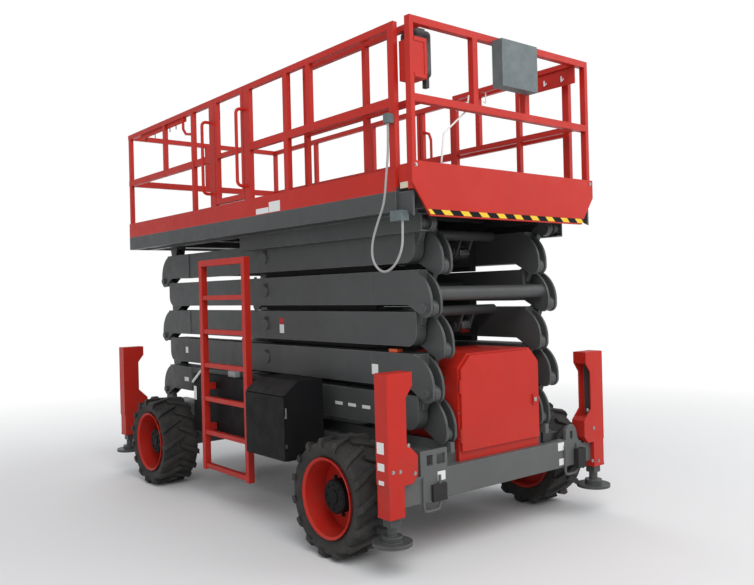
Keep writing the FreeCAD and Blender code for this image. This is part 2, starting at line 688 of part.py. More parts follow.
def build_cabinet(word, side):
    def across(inner, outer):
        return on_side((inner, outer), side)

    sign = "" if side > 0 else "-"
    outline = [
        (f"{sign}cabinet_in", "cabinet_low"),
        (f"{sign}cabinet_out", "cabinet_low"),
        (f"{sign}cabinet_out", "cabinet_shoulder"),
        (f"{sign}(cabinet_out - cabinet_slope)", "cabinet_top"),
        (f"{sign}cabinet_in", "cabinet_top"),
    ]
    deep = padded_body(f"cabinet_deep_{word}", "YZ_Plane", outline, "cabinet_front - cabinet_rear")
    deep.setExpression("Placement.Base.x", linked("cabinet_rear"))
    tray = block(f"tray_{word}", ("tray_rear", "cabinet_rear"), across("cabinet_in", "tray_out"),
                 ("tray_low", "tray_top"))
    solid = joined(f"cabinet_solid_{word}", [deep, tray])
    room = block(f"cabinet_room_{word}", ("cabinet_rear + sheet_wall", "cabinet_front - sheet_wall"),
                 across("cabinet_in + sheet_wall", "cabinet_out + sheet_wall"),
                 ("cabinet_low + sheet_wall", "cabinet_shoulder - sheet_wall"))
    rebate = block(f"door_rebate_{word}", ("cabinet_rear - sheet_wall", "cabinet_front + sheet_wall"),
                   across("cabinet_out - door_thick", "cabinet_out + sheet_wall"),
                   ("cabinet_low - sheet_wall", "cabinet_shoulder"))
    shell = without(f"{word}_cabinet", solid, joined(f"cabinet_cuts_{word}", [room, rebate]))
    pieces = [
        block(f"cabinet_door_panel_{word}", ("cabinet_rear + 2", "cabinet_front - 2"),
              across("cabinet_out - door_thick + 0.5", "cabinet_out"), ("cabinet_low + 2", "cabinet_shoulder - 6")),
    ]
    for place, low in (("low", "cabinet_low + 90"), ("high", "cabinet_shoulder - 150")):
        pieces.append(round_bar(f"cabinet_hinge_{place}_{word}", "Z", "hinge_radius", (low, f"{low} + 60"),
                                ("cabinet_front - 2", f"{sign}cabinet_out")))
    return [shell, joined(f"{word}_cabinet_door", pieces)]


for word, side in (("right", -1), ("left", 1)):
    nodes += build_cabinet(word, side)

engine = block("engine_block", ("hood_rear + 70", "hood_front - 90"), ("-(hood_half - 90)", "hood_half - 90"),
               ("hood_low + sheet_wall", "hood_top - 180"))
tank = block("hydraulic_tank", ("cabinet_rear + 60", "cabinet_front - 60"),
             ("cabinet_in + sheet_wall", "cabinet_out - 80"), ("cabinet_low + sheet_wall", "cabinet_shoulder - 100"))
battery = block("battery_block", ("cabinet_rear + 90", "cabinet_front - 90"),
                ("-(cabinet_out - 80)", "-(cabinet_in + sheet_wall)"),
                ("cabinet_low + sheet_wall", "cabinet_shoulder - 190"))
nodes += [engine, tank, battery]


# Ladder below the entry gate.

def build_ladder():
    inner = "ladder_out - ladder_deep"
    pieces = []
    for word, low in (("rear", "ladder_rear"), ("front", "ladder_front - ladder_bar")):
        pieces.append(block(f"ladder_rail_{word}", (low, f"{low} + ladder_bar"), on_side((inner, "ladder_out"), -1),
                            ("ladder_low", "ladder_top")))
    for number in range(6):
        pieces.append(block(f"rung_{number}", ("ladder_rear", "ladder_front"),
                            on_side((f"{inner} + 6", "ladder_out - 6"), -1),
                            (f"rung_low + {number} * rung_pitch - rung_tall / 2",
                             f"rung_low + {number} * rung_pitch + rung_tall / 2")))
    pieces.append(block("ladder_head", ("ladder_rear", "ladder_front"), on_side((inner, "ladder_out"), -1),
                        ("ladder_top - ladder_bar", "ladder_top")))
    for word, low in (("rear", "ladder_rear"), ("front", "ladder_front - ladder_bar")):
        for place, height in (("low", "tray_low + 60"), ("high", "tray_top - 120")):
            pieces.append(block(f"ladder_stay_{word}_{place}", (low, f"{low} + ladder_bar"),
                                on_side(("tray_out", inner), -1), (height, f"{height} + 60")))
    return joined("ladder", pieces)


nodes.append(build_ladder())


# Outriggers: a housing on each corner with a leg that slides down out of its sleeve.

def housing_outline(sign):
    """Seen along the machine: a slim upper cover, a bulge at the bracket and the lower sleeve."""
    inner = "(leg_y - sleeve_half)"
    outer = "(leg_y + sleeve_half)"
    return [
        (f"{sign}{inner}", "sleeve_low"),
        (f"{sign}{outer}", "sleeve_low"),
        (f"{sign}{outer}", "housing_top"),
        (f"{sign}(leg_y - 150)", "housing_top"),
        (f"{sign}(leg_y - 150)", "housing_top - 90"),
        (f"{sign}(leg_y - 92)", "housing_top - 165"),
        (f"{sign}(leg_y - 92)", "860"),
        (f"{sign}(leg_y - 185)", "770"),
        (f"{sign}(leg_y - 185)", "640"),
        (f"{sign}(leg_y - 135)", "590"),
        (f"{sign}{inner}", "590"),
    ]


HOUSINGS = [
    ("front_left", "beam_x_front - beam_depth", 1),
    ("front_right", "beam_x_front - beam_depth", -1),
    ("rear_left", "beam_x_rear", 1),
    ("rear_right", "beam_x_rear", -1),
]


def build_housing(name, start, side):
    sign = "" if side > 0 else "-"
    middle = f"({start} + housing_depth / 2)"
    body = padded_body(f"housing_body_{name}", "YZ_Plane", housing_outline(sign), "housing_depth")
    body.setExpression("Placement.Base.x", linked(start))
    clear = "(leg_half + leg_gap)"
    bore = block(f"sleeve_bore_{name}", (f"{middle} - {clear}", f"{middle} + {clear}"),
                 on_side((f"leg_y - {clear}", f"leg_y + {clear}"), side), ("sleeve_low - 10", "housing_top - 60"))
    window = block(f"housing_window_{name}", (f"{start} + housing_wall", f"{start} + housing_depth - housing_wall"),
                   on_side(("leg_y - 200", f"leg_y - {clear}"), side), ("800", "housing_top - 95"))
    return without(f"housing_{name}", body, joined(f"housing_cuts_{name}", [bore, window]))


def build_leg(name, start, side):
    middle = f"({start} + housing_depth / 2)"
    centre = (middle, f"{side} * leg_y")
    return joined(f"outrigger_leg_{name}", [
        block(f"leg_tube_{name}", (f"{middle} - leg_half", f"{middle} + leg_half"),
              on_side(("leg_y - leg_half", "leg_y + leg_half"), side), ("sleeve_low - 55", "housing_top - 110")),
        round_bar(f"leg_ball_{name}", "Z", "34", ("pad_low + 22", "sleeve_low - 40"), centre),
        round_bar(f"foot_pad_{name}", "Z", "pad_radius", ("pad_low", "pad_low + 24"), centre),
        round_bar(f"foot_boss_{name}", "Z", "68", ("pad_low + 20", "pad_low + 60"), centre),
    ])


nodes.append(gathered("outrigger_housings", [build_housing(*row) for row in HOUSINGS]))
nodes += [build_leg(*row) for row in HOUSINGS]


# Arms. Each level has an outer pair and an inner pair that cross at the centre shaft. A low end is a
# clevis of two rounded plates, and a high end is a single lug that sits in the next level's clevis.

pin_front = size("pin_x_front")
pin_rear = size("pin_x_rear")
centre_x = (pin_front + pin_rear) / 2
half_span = (pin_front - pin_rear) / 2
pitch = size("level_pitch")
half_tall = size("arm_tall") / 2

# What differs between an outer and an inner arm: its box, its clevis plates and its lug, across the machine.
plate = size("plate_thick")
gap = size("lug_gap")
OUTER = {
    "box": (size("outer_in"), size("outer_out")),
    "plates": (size("outer_in") - size("plate_proud_in"), size("outer_out") + size("plate_proud")),
}
INNER = {
    "box": (size("inner_in"), size("inner_out")),
    "plates": (size("inner_in") - size("plate_proud"), size("inner_out") + size("plate_proud")),
}
for kind in (OUTER, INNER):
    kind["clevis"] = (kind["plates"][0] + plate, kind["plates"][1] - plate)
    kind["lug"] = (kind["clevis"][0] + gap, kind["clevis"][1] - gap)


def level_centre(level):
    return size("pin_low") + (level - 0.5) * pitch


def arm_side(kind, level, low_end):
    """One arm on the left side. low_end is +1 where its clevis is at the front, or -1 at the rear."""
    middle = level_centre(level)

    def place(along, up):
        return centre_x + low_end * along, middle + up

    low_pin = place(half_span, -pitch / 2)
    high_pin = place(-half_span, pitch / 2)
    box_low = half_span - size("clevis_back")
    box_high = -(half_span - size("lug_back"))
    arm = flat_plate([place(box_high, -half_tall), place(box_low, -half_tall),
                      place(box_low, half_tall), place(box_high, half_tall)], *kind["box"],
                     [(0, size("heel_round"))])
    boss = size("boss_radius")
    front = half_span + boss
    outline = [
        place(half_span - size("plate_run"), -half_tall),
        place(half_span - boss - 110, -half_tall),
        place(half_span - boss * 0.72, -pitch / 2 - boss * 0.7),
        place(half_span, -pitch / 2 - boss),
        place(front, -pitch / 2 - boss),
        place(front, half_tall),
        place(half_span - size("plate_run"), half_tall),
    ]
    arcs = [(4, boss * 0.98), (5, size("plate_round"))]
    for low, high in ((kind["plates"][0], kind["clevis"][0]), (kind["clevis"][1], kind["plates"][1])):
        arm = arm.fuse(flat_plate(outline, low, high, arcs))
    pin_in = kind["plates"][0]
    pin_out = kind["plates"][1] + (size("pin_head") if kind is OUTER else 0)
    arm = arm.fuse(across_bar(size("pin_radius"), *low_pin, pin_in, pin_out))
    reach = size("lug_radius")
    neck = flat_plate([place(box_high + 60, half_tall - 4), place(box_high + 60, half_tall - 150),
                       place(box_high - 20, half_tall - 95),
                       (high_pin[0] + low_end * reach * 0.80, high_pin[1] - reach * 0.60),
                       (high_pin[0] - low_end * reach * 0.15, high_pin[1] + reach * 0.97)], *kind["lug"])
    lug = neck.fuse(across_bar(reach, *high_pin, *kind["lug"]))
    arm = arm.fuse(lug)
    arm = arm.cut(across_bar(size("pin_radius") + turning_gap, *high_pin, kind["lug"][0] - 1, kind["lug"][1] + 1))
    return arm


def outer_pair(level, low_end, cross_tube):
    """Both outer arms with their centre shaft, which the inner arms turn on."""
    arm = arm_side(OUTER, level, low_end)
    middle = level_centre(level)
    box_in, box_out = OUTER["box"]
    arm = arm.fuse(across_bar(size("centre_head"), centre_x, middle, box_out - 5, box_out + 12))
    arm = arm.fuse(across_bar(size("centre_boss"), centre_x, middle, OUTER["plates"][0], box_in + 5))
    pair = arm.fuse(mirrored(arm))
    pair = pair.fuse(across_bar(size("centre_radius"), centre_x, middle, -box_out, box_out))
    if cross_tube:
        tube_x = centre_x + low_end * (half_span - 12)
        tube_z = middle - pitch / 2 + size("cross_rise")
        inner_face = OUTER["plates"][0] + 4
        pair = pair.fuse(across_bar(size("cross_radius"), tube_x, tube_z, -inner_face, inner_face))
    return pair.removeSplitter()


def inner_pair(level, low_end, tubes):
    """Both inner arms with their cross tubes. tubes holds (x, z) from the arms' centre."""
    arm = arm_side(INNER, level, low_end)
    middle = level_centre(level)
    arm = arm.fuse(across_bar(size("centre_boss"), centre_x, middle, INNER["box"][1] - 5, INNER["plates"][1]))
    bore = size("centre_radius") + turning_gap
    arm = arm.cut(across_bar(bore, centre_x, middle, INNER["box"][0] - 20, INNER["box"][1] + 20))
    pair = arm.fuse(mirrored(arm))
    inner_face = INNER["box"][0] + 6
    for tube_x, tube_z in tubes:
        pair = pair.fuse(across_bar(size("inner_cross_radius"), centre_x + tube_x, middle + tube_z,
                                    -inner_face, inner_face))
    return pair


# Level, which end of the outer pair is low, whether that end has a cross tube.
OUTER_LEVELS = [(1, -1, True), (2, 1, False), (3, -1, True), (4, 1, True), (5, -1, True)]
base_eye = (size("base_eye_x"), size("base_eye_z"))
rod_eye = (size("rod_eye_x"), size("rod_eye_z"))
EAR_BACK = (70, 125)
rod_tube = (rod_eye[0] + EAR_BACK[0], rod_eye[1] + EAR_BACK[1])
# Level, which end of the inner pair is low, its cross tubes, what it carries of a lift cylinder.
INNER_LEVELS = [
    (1, 1, [(-1300, 0), (920, 0)], None),
    (2, -1, [base_eye, (1300, 0)], "barrel"),
    (3, 1, [(-1300, 0), rod_tube], "rod"),
    (4, -1, [base_eye, (1300, 0)], "barrel"),
    (5, 1, [(-1300, 0), rod_tube], "rod"),
]


def rod_ears(level):
    """Ears that hang from the cross tube, either side of each rod eye, with short pin stubs outside it."""
    eye_x = centre_x + rod_eye[0]
    eye_z = level_centre(level) + rod_eye[1]
    tube_x = centre_x + rod_tube[0]
    tube_z = level_centre(level) + rod_tube[1]
    half = size("eye_width") / 2
    ears = []
    for centre_y in (-size("barrel_y"), size("barrel_y")):
        for low, high in ((half + 4, half + 20), (-half - 20, -half - 4)):
            ear = flat_plate([(tube_x - 40, tube_z + 5), (eye_x - 48, eye_z), (eye_x - 20, eye_z - 48),
                              (eye_x + 30, eye_z - 44), (tube_x + 38, tube_z - 8)],
                             centre_y + low, centre_y + high)
            outward = high if high > half else low
            stub = sorted((centre_y + outward, centre_y + outward + (14 if high > half else -14)))
            ears.append(ear.fuse(across_bar(size("pin_radius"), eye_x, eye_z, *stub)))
    return ears


for level, low_end, cross_tube in OUTER_LEVELS:
    nodes.append(shaped(f"outer_arms_{level}", outer_pair(level, low_end, cross_tube)))
for level, low_end, tubes, carries in INNER_LEVELS:
    pair = inner_pair(level, low_end, tubes)
    if carries == "rod":
        for ear in rod_ears(level):
            pair = pair.fuse(ear)
    if level == 1:
        roller_low, roller_high = INNER["lug"]
        roller_x = pin_front
        for span in ((roller_low, roller_high), (-roller_high, -roller_low)):
            pair = pair.fuse(across_bar(size("roller_radius"), roller_x, size("pin_low"), *span))
    nodes.append(shaped(f"inner_arms_{level}", pair.removeSplitter()))


# The outer arms' top ends carry rollers that run in the platform's channels.
top_pin_z = size("pin_low") + size("levels") * pitch
channel_in = OUTER["plates"][1] + size("pin_head") / 2
roller_span = (channel_in + 8, channel_in + 52)
top_pins = []
for span, roller in (((OUTER["lug"][0], roller_span[1]), roller_span),
                     ((-roller_span[1], -OUTER["lug"][0]), (-roller_span[1], -roller_span[0]))):
    top_pins.append(across_bar(size("pin_radius") + turning_gap, pin_front, top_pin_z, *span))
    top_pins.append(across_bar(size("roller_radius"), pin_front, top_pin_z, *roller))
uppermost = [node for node in nodes if node.Label.startswith("outer_arms_")][-1]
uppermost.Shape = uppermost.Shape.fuse(top_pins).removeSplitter()


# Lift cylinders, in two stages of two, between the arms of levels 2 and 3 and of levels 4 and 5.

def cylinder_stage(level):
    """Barrels and rods of one stage, made level and then tilted about the barrel eyes."""
    start = Vector(centre_x + base_eye[0], 0, level_centre(level) + base_eye[1])
    end = Vector(centre_x + rod_eye[0], 0, level_centre(level + 1) + rod_eye[1])
    reach = (end - start).Length
    tilt = math.degrees(math.atan2(end.z - start.z, end.x - start.x))
    half = size("eye_width") / 2
    barrel_end = reach - size("rod_shows")
    eye = size("eye_radius")
    barrels = []
    rods = []
    for centre_y in (-size("barrel_y"), size("barrel_y")):
        tube = Part.makeCylinder(size("barrel_radius"), barrel_end - 60, Vector(60, centre_y, 0), Vector(1, 0, 0))
        gland = Part.makeCylinder(size("barrel_radius") + 6, 60, Vector(barrel_end - 60, centre_y, 0), Vector(1, 0, 0))
        head = across_bar(eye, 0, 0, centre_y - half, centre_y + half)
        neck = Part.makeBox(70, size("eye_width"), eye * 1.6, Vector(20, centre_y - half, -eye * 0.8))
        port = Part.makeCylinder(14, 30, Vector(180, centre_y, size("barrel_radius") - 4), Vector(0, 0, 1))
        barrel = tube.fuse([gland, head, neck, port])
        bore = Part.makeCylinder(size("piston_rod_radius") + turning_gap, barrel_end,
                                 Vector(200, centre_y, 0), Vector(1, 0, 0))
        pivot = across_bar(size("inner_cross_radius") + turning_gap, 0, 0, centre_y - half - 1, centre_y + half + 1)
        barrels.append(barrel.cut([bore, pivot]))
        rod = Part.makeCylinder(size("piston_rod_radius"), reach - size("piston_start"),
                                Vector(size("piston_start"), centre_y, 0), Vector(1, 0, 0))
        rod_head = across_bar(eye - 8, reach, 0, centre_y - half, centre_y + half)
        rod_bore = across_bar(size("pin_radius") + 2, reach, 0, centre_y - half - 1, centre_y + half + 1)
        rods.append(rod.fuse(rod_head).cut(rod_bore))
    placed = []
    for shapes in (barrels, rods):
        group = Part.Compound(shapes)
        group.rotate(Vector(), Vector(0, 1, 0), -tilt)
        group.translate(start)
        placed.append(group)
    return placed


for word, level in (("lower", 2), ("upper", 4)):
    barrels, rods = cylinder_stage(level)
    nodes += [shaped(f"lift_barrels_{word}", barrels), shaped(f"lift_rods_{word}", rods)]


# Platform: frame and floor, toe boards, guard rails and the entry gate.

def build_deck():
    floor = block("platform_floor", ("deck_rear + toe_thick", "deck_front"),
                  ("-deck_half + toe_thick", "deck_half - toe_thick"),
                  ("deck_under_floor", "deck_under_floor + floor_thick"))
    pieces = [
        block("frame_end_rear", ("deck_rear", "deck_rear + 80"), ("-deck_half", "deck_half"),
              ("deck_low", "deck_under_floor")),
        block("frame_end_front", ("deck_front - 80", "deck_front"), ("-deck_half", "deck_half"),
              ("deck_low + lug_relief", "deck_under_floor")),
        block("pivot_beam", ("pin_x_rear - 90", "pin_x_rear + 130"), ("-deck_half", "deck_half"),
              ("deck_low + lug_relief", "deck_under_floor")),
    ]
    for number in range(6):
        start = f"deck_rear + 900 + {number} * 560"
        pieces.append(block(f"floor_bearer_{number}", (start, f"{start} + 50"), ("-deck_half", "deck_half"),
                            ("deck_low + 45", "deck_under_floor")))
    for side, word in ((1, "left"), (-1, "right")):
        pieces.append(block(f"frame_side_{word}", ("deck_rear", "deck_front"),
                            on_side(("deck_half - 60", "deck_half"), side),
                            ("deck_low", "deck_under_floor")))
        pieces.append(block(f"stringer_{word}", ("deck_rear", "deck_front"),
                            on_side(("outer_out + 20", "outer_out + 100"), side), ("deck_low", "deck_under_floor")))
    frame = joined("platform_frame", pieces)
    top_rail_low = top_pin_z + size("roller_radius") + size("track_gap")
    channel_out = roller_span[1] + 8
    channels = []
    span_x = (size("track_rear"), size("pin_x_front") + 70)
    deck_low = size("deck_low")
    low_flange = top_pin_z - size("roller_radius") - 5
    for low, high, bottom, top in (
            (roller_span[0] - 3, channel_out + 10, top_rail_low, deck_low),
            (channel_out, channel_out + 10, low_flange - 10, deck_low),
            (roller_span[0] - 3, channel_out + 10, low_flange - 10, low_flange)):
        channels.append(Part.makeBox(span_x[1] - span_x[0], high - low, top - bottom,
                                     Vector(span_x[0], low, bottom)))
    channel = channels[0].fuse(channels[1:])
    brackets = []
    reach = size("lug_radius")
    relief = size("lug_relief")
    clevis = [(INNER["plates"][0], INNER["clevis"][0]), (INNER["clevis"][1], INNER["plates"][1])]
    for low, high in clevis:
        ear = flat_plate([(pin_rear - 85, deck_low + relief), (pin_rear + 85, deck_low + relief),
                          (pin_rear + reach, top_pin_z), (pin_rear - reach, top_pin_z)], low, high)
        brackets.append(ear.fuse(across_bar(reach, pin_rear, top_pin_z, low, high)))
    brackets.append(across_bar(size("pin_radius"), pin_rear, top_pin_z, clevis[0][0], clevis[1][1]))
    bracket = brackets[0].fuse(brackets[1:])
    tracks = shaped("platform_tracks", Part.Compound([channel, mirrored(channel), bracket, mirrored(bracket)]))
    return [floor, frame, tracks]


def build_toe_boards():
    low = "deck_under_floor"
    pieces = [block("toe_rear", ("deck_rear", "deck_rear + toe_thick"), ("-deck_half", "deck_half"),
                    ("deck_under_floor", "toe_top"))]
    for side, word in ((1, "left"), (-1, "right")):
        pieces.append(block(f"toe_{word}", ("deck_rear", "deck_front"),
                            on_side(("deck_half - toe_thick", "deck_half"), side), (low, "toe_top")))
    return joined("toe_boards", pieces)


# Posts of a side rail: name, centre, width, foot, top.
SIDE_POSTS = [
    ("rear", "deck_rear + toe_thick + guard_bar / 2", "guard_bar", "deck_under_floor + floor_thick", "guard_top - guard_bar"),
    ("upper_rear", "deck_rear + 920", "guard_bar", "mid_high", "guard_top - guard_bar"),
    ("gate_rear", "gate_rear", "gate_post", "deck_under_floor + floor_thick", "guard_top - guard_bar"),
    ("gate_front", "gate_front", "gate_post", "deck_under_floor + floor_thick", "guard_top - guard_bar"),
    ("mid", "gate_front + 605", "post_wide", "deck_under_floor + floor_thick", "guard_top - guard_bar"),
    ("upper_front", "gate_front + 925", "guard_bar", "mid_high", "guard_top - guard_bar"),
    ("front", "deck_front - post_wide / 2", "post_wide", "deck_under_floor + floor_thick", "guard_top - guard_bar"),
]
rail_in = "(guard_y - guard_bar / 2)"
rail_out = "(deck_half - toe_thick)"


def side_guard(word, side, has_gate):
    """Posts, top rail and mid rail of one side. The top rail and mid rail stop at the gate posts."""
    across = on_side((rail_in, rail_out), side)
    pieces = []
    for name, centre, width, foot, top in SIDE_POSTS:
        pieces.append(block(f"post_{name}_{word}", (f"{centre} - {width} / 2", f"{centre} + {width} / 2"), across,
                            (foot, top)))
    runs = [("rear", "deck_rear", "gate_rear + gate_post / 2"), ("front", "gate_front - gate_post / 2", "deck_front")]
    if not has_gate:
        runs = [("long", "deck_rear", "deck_front")]
    for name, start, end in runs:
        pieces.append(block(f"top_rail_{name}_{word}", (start, end), across, ("guard_top - guard_bar", "guard_top")))
        pieces.append(block(f"mid_rail_{name}_{word}", (start, end), across, ("mid_low", "mid_high")))
    return pieces


def grab_handle(x, side):
    """A round tube bent into a C, standing out from a gate post."""
    radius = 14
    bend = 40
    foot = size("guard_y") + 8
    out = size("guard_y") + 95
    rise = size("guard_top") - size("toe_top")
    low = size("toe_top") + 0.12 * rise
    high = size("toe_top") + 0.79 * rise
    path = [Vector(x, side * foot, high), Vector(x, side * out, high), Vector(x, side * out, low),
            Vector(x, side * foot, low)]
    return bent_tube(path, radius, [bend, bend])


def build_guards():
    rear_across = ("-(guard_y - guard_bar / 2)", "guard_y - guard_bar / 2")
    rear_depth = ("deck_rear", "deck_rear + guard_bar")
    right = side_guard("right", -1, True)
    left = side_guard("left", 1, False)
    rear = [
        block("rear_top_rail", rear_depth, rear_across, ("guard_top - guard_bar", "guard_top")),
        block("rear_mid_rail", rear_depth, rear_across, ("mid_low", "mid_high")),
        block("rear_post", rear_depth, ("-guard_bar / 2", "guard_bar / 2"), ("mid_high", "guard_top - guard_bar")),
    ]
    handles = [shaped(f"grab_handle_{number}", grab_handle(size(post) - 30, -1))
               for number, post in enumerate(("gate_rear", "gate_front"))]
    return [joined("guard_rail_right", right + handles), joined("guard_rail_left", left),
            joined("guard_rail_rear", rear)]


def build_gate():
    across = on_side((rail_in, rail_out), -1)
    start = "(gate_rear + gate_post / 2 + gate_gap)"
    end = "(gate_front - gate_post / 2 - gate_gap)"
    pieces = [
        block("gate_top", (start, end), across, ("guard_top - guard_bar", "guard_top")),
        block("gate_mid", (start, end), across, ("mid_low + 12", "mid_high - 12")),
        block("gate_low", (start, end), across, ("toe_top + 12", "toe_top + 12 + guard_bar")),
        block("gate_end_rear", (start, f"{start} + 40"), across, ("toe_top + 12", "guard_top")),
        block("gate_end_front", (f"{end} - 40", end), across, ("toe_top + 12", "guard_top")),
    ]
    for place, low in (("low", "toe_top + 90"), ("high", "guard_top - 190")):
        pieces.append(round_bar(f"gate_hinge_{place}", "Z", "hinge_radius", (low, f"{low} + 80"),
                                (f"{start} - gate_gap / 2", f"-({rail_in} - hinge_radius + 0.6)")))
        pieces.append(block(f"gate_leaf_{place}", (start, f"{start} + 32"),
                            on_side((f"{rail_in} - 6", rail_in), -1), (low, f"{low} + 80")))
    return joined("entry_gate", pieces)


nodes += build_deck() + [build_toe_boards()] + build_guards() + [build_gate()]


# Roll-out deck at the front, with its plate, rails and controls.

def build_slide_deck():
    floor_low = "(deck_under_floor + floor_thick + slide_gap)"
    pieces = [
        block("slide_floor", ("slide_rear", "nose_x - nose_thick"), ("-slide_half + 45", "slide_half - 45"),
              (floor_low, f"{floor_low} + 20")),
    ]
    for side, word in ((1, "left"), (-1, "right")):
        pieces.append(block(f"slide_shoe_{word}", ("slide_rear", "deck_front - 100"),
                            on_side(("slide_half - 70", "slide_half - 20"), side),
                            ("deck_under_floor + floor_thick + track_gap", floor_low)))
        pieces.append(block(f"slide_toe_{word}", ("slide_rear", "nose_x - nose_thick"),
                            on_side(("slide_half - 45", "slide_half - 35"), side), (floor_low, "toe_top")))
        pieces.append(block(f"slide_beam_{word}", ("deck_front + 12", "nose_x - nose_thick"),
                            on_side(("slide_half - 90", "slide_half - 35"), side), ("deck_low + 20", floor_low)))
    return joined("rollout_deck", pieces)


def build_nose_plate():
    plate_body = padded_body("front_plate", "YZ_Plane", [
        ("-nose_half_low", "nose_low"),
        ("nose_half_low", "nose_low"),
        ("nose_half", "nose_shoulder"),
        ("nose_half", "nose_top"),
        ("-nose_half", "nose_top"),
        ("-nose_half", "nose_shoulder"),
    ], "nose_thick")
    plate_body.setExpression("Placement.Base.x", linked("nose_x - nose_thick"))
    return plate_body


def build_slide_guard():
    depth = ("nose_x - nose_thick - guard_bar", "nose_x - nose_thick")
    front = [
        block("front_top_rail", depth, ("-guard_y", "guard_y"), ("guard_top - guard_bar", "guard_top")),
        block("front_mid_rail", depth, ("-guard_y", "guard_y"), ("mid_low + 6", "mid_high - 6")),
    ]
    for number, place in enumerate(("-guard_y * 0.36", "guard_y * 0.22")):
        front.append(block(f"front_post_{number}", depth, (f"{place} - guard_bar / 2", f"{place} + guard_bar / 2"),
                           ("mid_high - 6", "guard_top - guard_bar")))
    for side, word in ((1, "left"), (-1, "right")):
        front.append(block(f"front_corner_{word}", depth, on_side(("guard_y - guard_bar / 2", "guard_y + 12"), side),
                           ("deck_under_floor", "guard_top")))
        inner = on_side(("slide_half - 60", "slide_half - 20"), side)
        front.append(block(f"slide_top_{word}", ("slide_rear + 350", "nose_x - nose_thick - 30"), inner,
                           ("guard_top - guard_bar + 4", "guard_top - 4")))
        front.append(block(f"slide_mid_{word}", ("slide_rear + 350", "nose_x - nose_thick - 30"), inner,
                           ("mid_low + 10", "mid_high - 10")))
        for number, place in enumerate(("slide_rear + 350", "slide_rear + 1100")):
            front.append(block(f"slide_post_{number}_{word}", (place, f"{place} + 40"), inner,
                               ("toe_top", "guard_top - guard_bar + 4")))
    front.append(block("hook_plate", ("slide_rear + 1140", "nose_x - nose_thick - 30"),
                       ("slide_half - 44", "slide_half - 36"), ("guard_top - 175", "guard_top - guard_bar + 4")))
    front.append(block("console_bracket", ("nose_x - nose_thick - 146", "nose_x - nose_thick"),
                       (f"-{rail_in}", "-(guard_y - 136)"), (above_mid_rail(0.2), above_mid_rail(0.73))))
    return joined("rollout_rails", front)


def above_mid_rail(share):
    """A height between the mid rail and the top rail."""
    return f"(mid_high + (guard_top - mid_high) * {share})"


def build_console():
    return block("control_console", ("nose_x - 290", "nose_x - 130"), ("-(guard_y - 136)", "-(guard_y - 306)"),
                 (above_mid_rail(0.31), above_mid_rail(0.96)))


def build_manual_box():
    return block("manual_box", ("nose_x - nose_thick", "nose_x + 80"), ("-165", "215"),
                 (above_mid_rail(0.266), above_mid_rail(0.93)))


nodes += [build_slide_deck(), build_nose_plate(), build_slide_guard(), build_console(), build_manual_box()]


# Control cable: from a clip on the front right post down in a loop and up to a junction box.

# Offsets from the main deck's lower front right corner.
CABLE_ROUTE = [
    (-31, -27, 584.7), (-31, -27, 415), (-39, -46, 225), (-55, -52, 55), (-135, -54, -75), (-200, -54, -215),
    (-190, -52, -335), (-90, -48, -410), (25, -42, -365), (90, -32, -255), (75, -12, -140), (75, -12, -68.3),
]


def cable_bends(points):
    """The radius that each inner corner's two runs allow."""
    radii = []
    for before, corner, after in zip(points, points[1:], points[2:]):
        turn = math.pi - (before - corner).getAngle(after - corner)
        shorter = min((before - corner).Length, (after - corner).Length)
        radii.append(0.45 * shorter / math.tan(turn / 2))
    return radii


deck_corner = Vector(size("deck_front"), -size("deck_half"), size("deck_low"))
route = [deck_corner + Vector(*offset) for offset in CABLE_ROUTE]
bends = cable_bends(route)
print("cable radii", [round(radius) for radius in bends])
cable = bent_tube(route, size("cable_radius"), bends)
nodes.append(shaped("control_cable", cable))
junction = Part.makeBox(110, 70, 68, deck_corner + Vector(-15, -42, -68))
clip = Part.makeBox(46, 57, 60, deck_corner + Vector(-53, -49, 585))
nodes.append(shaped("cable_fittings", Part.Compound([junction, clip])))

doc.recompute()


def check_document():
    for item in doc.Objects:
        if {"Invalid", "Error"} & set(item.State):
            raise RuntimeError(f"{item.Label} failed: {item.State}")
    for node in nodes:
        if node.Shape.isNull() or not node.Shape.isValid():
            raise RuntimeError(f"{node.Label} has no valid shape")


check_document()
os.makedirs("parts", exist_ok=True)
for node in nodes:
    node.Shape.exportStep(f"parts/{node.Label}.step")
print(len(nodes), "nodes")
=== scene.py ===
"""The looks of a rough-terrain scissor lift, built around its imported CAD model.

Metres, in the frame of the CAD model: +X towards the end with the hood and the striped plate,
+Y to the left, +Z up, origin on the ground.
"""
import json
import math

import bmesh
import bpy
from mathutils import Matrix, Vector


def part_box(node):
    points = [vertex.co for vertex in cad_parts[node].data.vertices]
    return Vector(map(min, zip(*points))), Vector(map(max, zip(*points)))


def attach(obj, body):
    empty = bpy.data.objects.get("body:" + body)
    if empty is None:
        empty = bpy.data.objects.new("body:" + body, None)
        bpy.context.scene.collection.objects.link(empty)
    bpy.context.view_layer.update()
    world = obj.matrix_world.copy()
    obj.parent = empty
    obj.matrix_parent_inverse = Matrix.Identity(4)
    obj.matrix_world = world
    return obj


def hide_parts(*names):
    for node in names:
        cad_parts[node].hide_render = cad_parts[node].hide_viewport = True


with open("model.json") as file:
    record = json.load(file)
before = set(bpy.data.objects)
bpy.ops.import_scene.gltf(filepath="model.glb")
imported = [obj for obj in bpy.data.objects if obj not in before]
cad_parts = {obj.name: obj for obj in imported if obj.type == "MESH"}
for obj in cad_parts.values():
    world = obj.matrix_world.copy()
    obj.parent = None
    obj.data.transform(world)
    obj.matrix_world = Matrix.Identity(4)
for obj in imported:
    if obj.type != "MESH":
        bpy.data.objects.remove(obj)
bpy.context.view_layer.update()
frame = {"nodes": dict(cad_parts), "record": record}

X, Y, Z = range(3)
SIDES = (-1, 1)  # right and left, as a sign on Y


